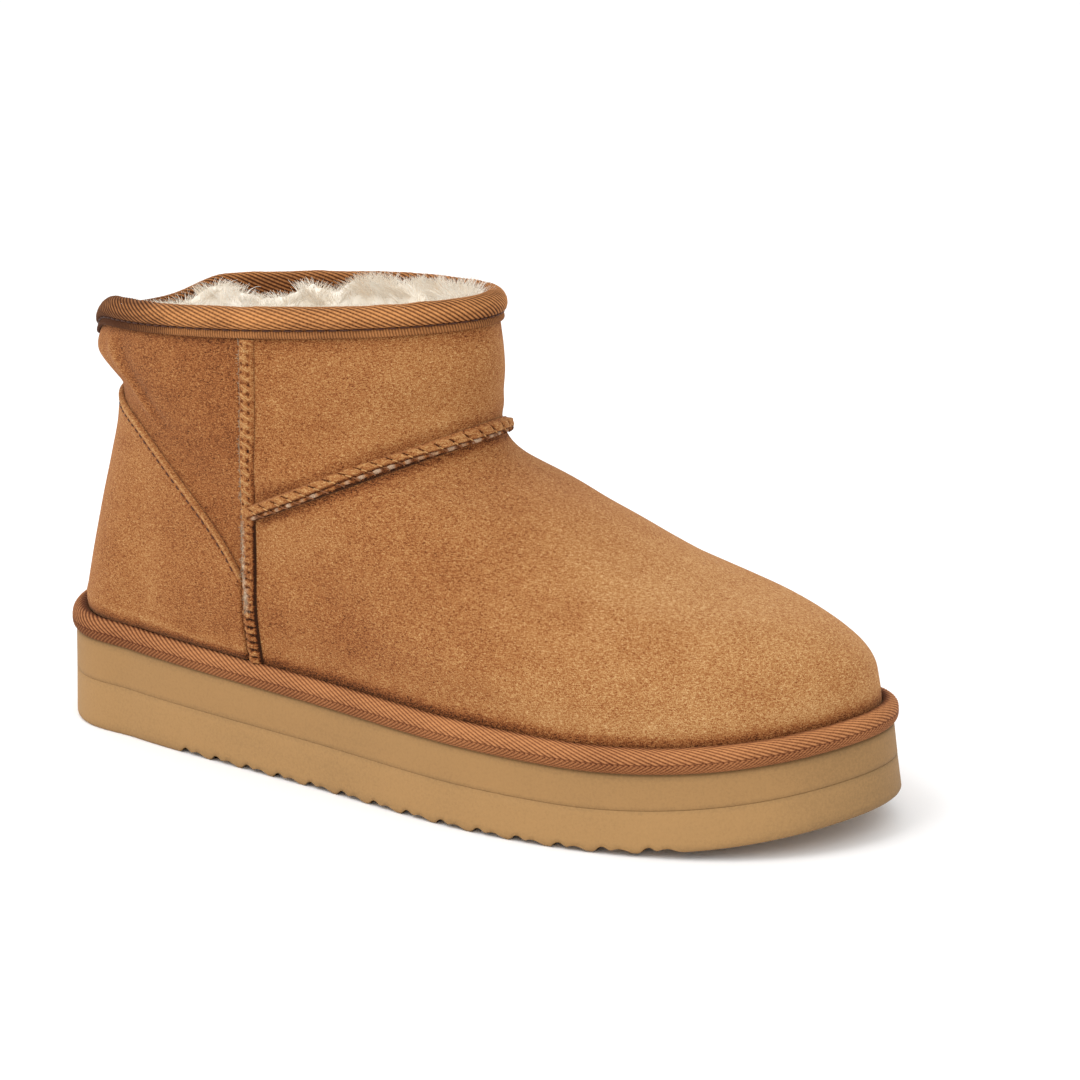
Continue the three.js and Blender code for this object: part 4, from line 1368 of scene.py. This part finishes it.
def make_insole():
    around = 320
    u = round_u(around)
    inset = -WALL - GAP - 0.3
    levels = (0.0, 0.3, 0.6, 0.78, INSOLE_TOP)
    insets = (0.0, 0.0, 0.0, -0.3, -1.2)
    rings = np.stack([FORM.at(u, v, inset + i) for v, i in zip(levels, insets)])
    rim = rings[-1]
    lift = float(np.median(rim[:, 2] - sole_top(rim[:, 0])))

    def wool_height(x, y):
        broad = np.abs(value_noise(x / 7 + 60, y / 7 + 60, 41))
        fine = np.abs(value_noise(x / 2.6 + 60, y / 2.6 + 60, 42))
        return sole_top(x) + lift + 1.1 * broad + 0.9 * fine

    heights = (lambda x, y: sole_top(x) + 0.3, wool_height)

    def tone(points):
        # Painted shade: the wool is darker the lower it lies.
        return {"tone": 0.35 + 0.12 * (points[:, 2] - sole_top(points[:, 0]) - lift)}

    piece = ring_body("wool_insole", rings, heights, WOOL, tone, rungs=26)
    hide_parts("insole")


make_sole_lower()
make_sole_upper()
make_piping()
make_collar_tape()
make_upper()
make_heel_counter()
make_side_seam(-1)
make_side_seam(1)
make_instep_band()
make_back_tab()
make_insole()
make_wool_lining()
make_wool_fibres("wool_fibres_outer", 4000, 31, 0.0, 0.5)
make_wool_fibres("wool_fibres_inner", 5800, 32, 0.5, 1.0)


# Stage, light and camera


def make_floor():
    mesh = bpy.data.meshes.new("floor")
    half = 6.0
    corners = [(-half, -half, 0), (half, -half, 0), (half, half, 0), (-half, half, 0)]
    mesh.from_pydata(corners, [], [(0, 1, 2, 3)])
    floor = bpy.data.objects.new("floor", mesh)
    bpy.context.scene.collection.objects.link(floor)
    s = Shader("floor", Roughness=0.9, Specular_IOR_Level=0.1)
    paper = s.ramp(s.noise(3.0, 1.0), (0.0, (250, 250, 250)), (1.0, (252, 252, 252)))
    s.feed(s.shader.inputs["Base Color"], paper)
    mesh.materials.append(s.material)


def make_light(name, place, aim, size, power):
    lamp = bpy.data.lights.new(name, "AREA")
    lamp.shape = "RECTANGLE"
    lamp.size, lamp.size_y = size
    lamp.energy = power
    light = bpy.data.objects.new(name, lamp)
    light.location = place
    light.rotation_euler = (Vector(aim) - Vector(place)).to_track_quat("-Z", "Y").to_euler()
    bpy.context.scene.collection.objects.link(light)


def make_world(strength):
    world = bpy.data.worlds.new("studio")
    world.use_nodes = True
    background = world.node_tree.nodes["Background"]
    background.inputs["Color"].default_value = (1.0, 1.0, 1.0, 1.0)
    background.inputs["Strength"].default_value = strength
    bpy.context.scene.world = world


# The photograph's camera, found from the boot's outline: angles, distance, and where the
# picture's middle looks, in pixels of a frame 1080 wide
CAMERA_AZIMUTH = math.radians(31.53)
CAMERA_ELEVATION = math.radians(14.62)
CAMERA_DISTANCE = 929.7
FOCAL_PIXELS = 3102.8
MIDDLE_PIXELS = (-74.07, 219.09)
FRAME_PIXELS = 1080
SENSOR_WIDTH = 36.0


def make_camera():
    sin_a, cos_a = math.sin(CAMERA_AZIMUTH), math.cos(CAMERA_AZIMUTH)
    sin_e, cos_e = math.sin(CAMERA_ELEVATION), math.cos(CAMERA_ELEVATION)
    back = Vector((sin_a * cos_e, -cos_a * cos_e, sin_e))
    right = Vector((cos_a, sin_a, 0.0))
    up = back.cross(right)
    across, high = (pixels / FOCAL_PIXELS for pixels in MIDDLE_PIXELS)
    place = (back - right * across + up * high) * CAMERA_DISTANCE + Vector(CENTRE_SHIFT)
    data = bpy.data.cameras.new("camera")
    data.sensor_width = SENSOR_WIDTH
    data.lens = FOCAL_PIXELS * SENSOR_WIDTH / FRAME_PIXELS
    data.clip_start, data.clip_end = 0.05, 30.0
    camera = bpy.data.objects.new("camera", data)
    turn = Matrix((right, up, back)).transposed().to_4x4()
    camera.matrix_world = Matrix.Translation(place * MM) @ turn
    bpy.context.scene.collection.objects.link(camera)
    bpy.context.scene.camera = camera


make_floor()
make_world(1.05)
make_light("key", (-0.5, -1.1, 1.6), (0.0, 0.0, 0.06), (1.2, 1.2), 15.0)
make_light("front", (0.9, -1.1, 1.3), (0.05, 0.0, 0.05), (1.0, 0.8), 5.0)
make_camera()
bpy.context.scene.view_settings.view_transform = "Standard"
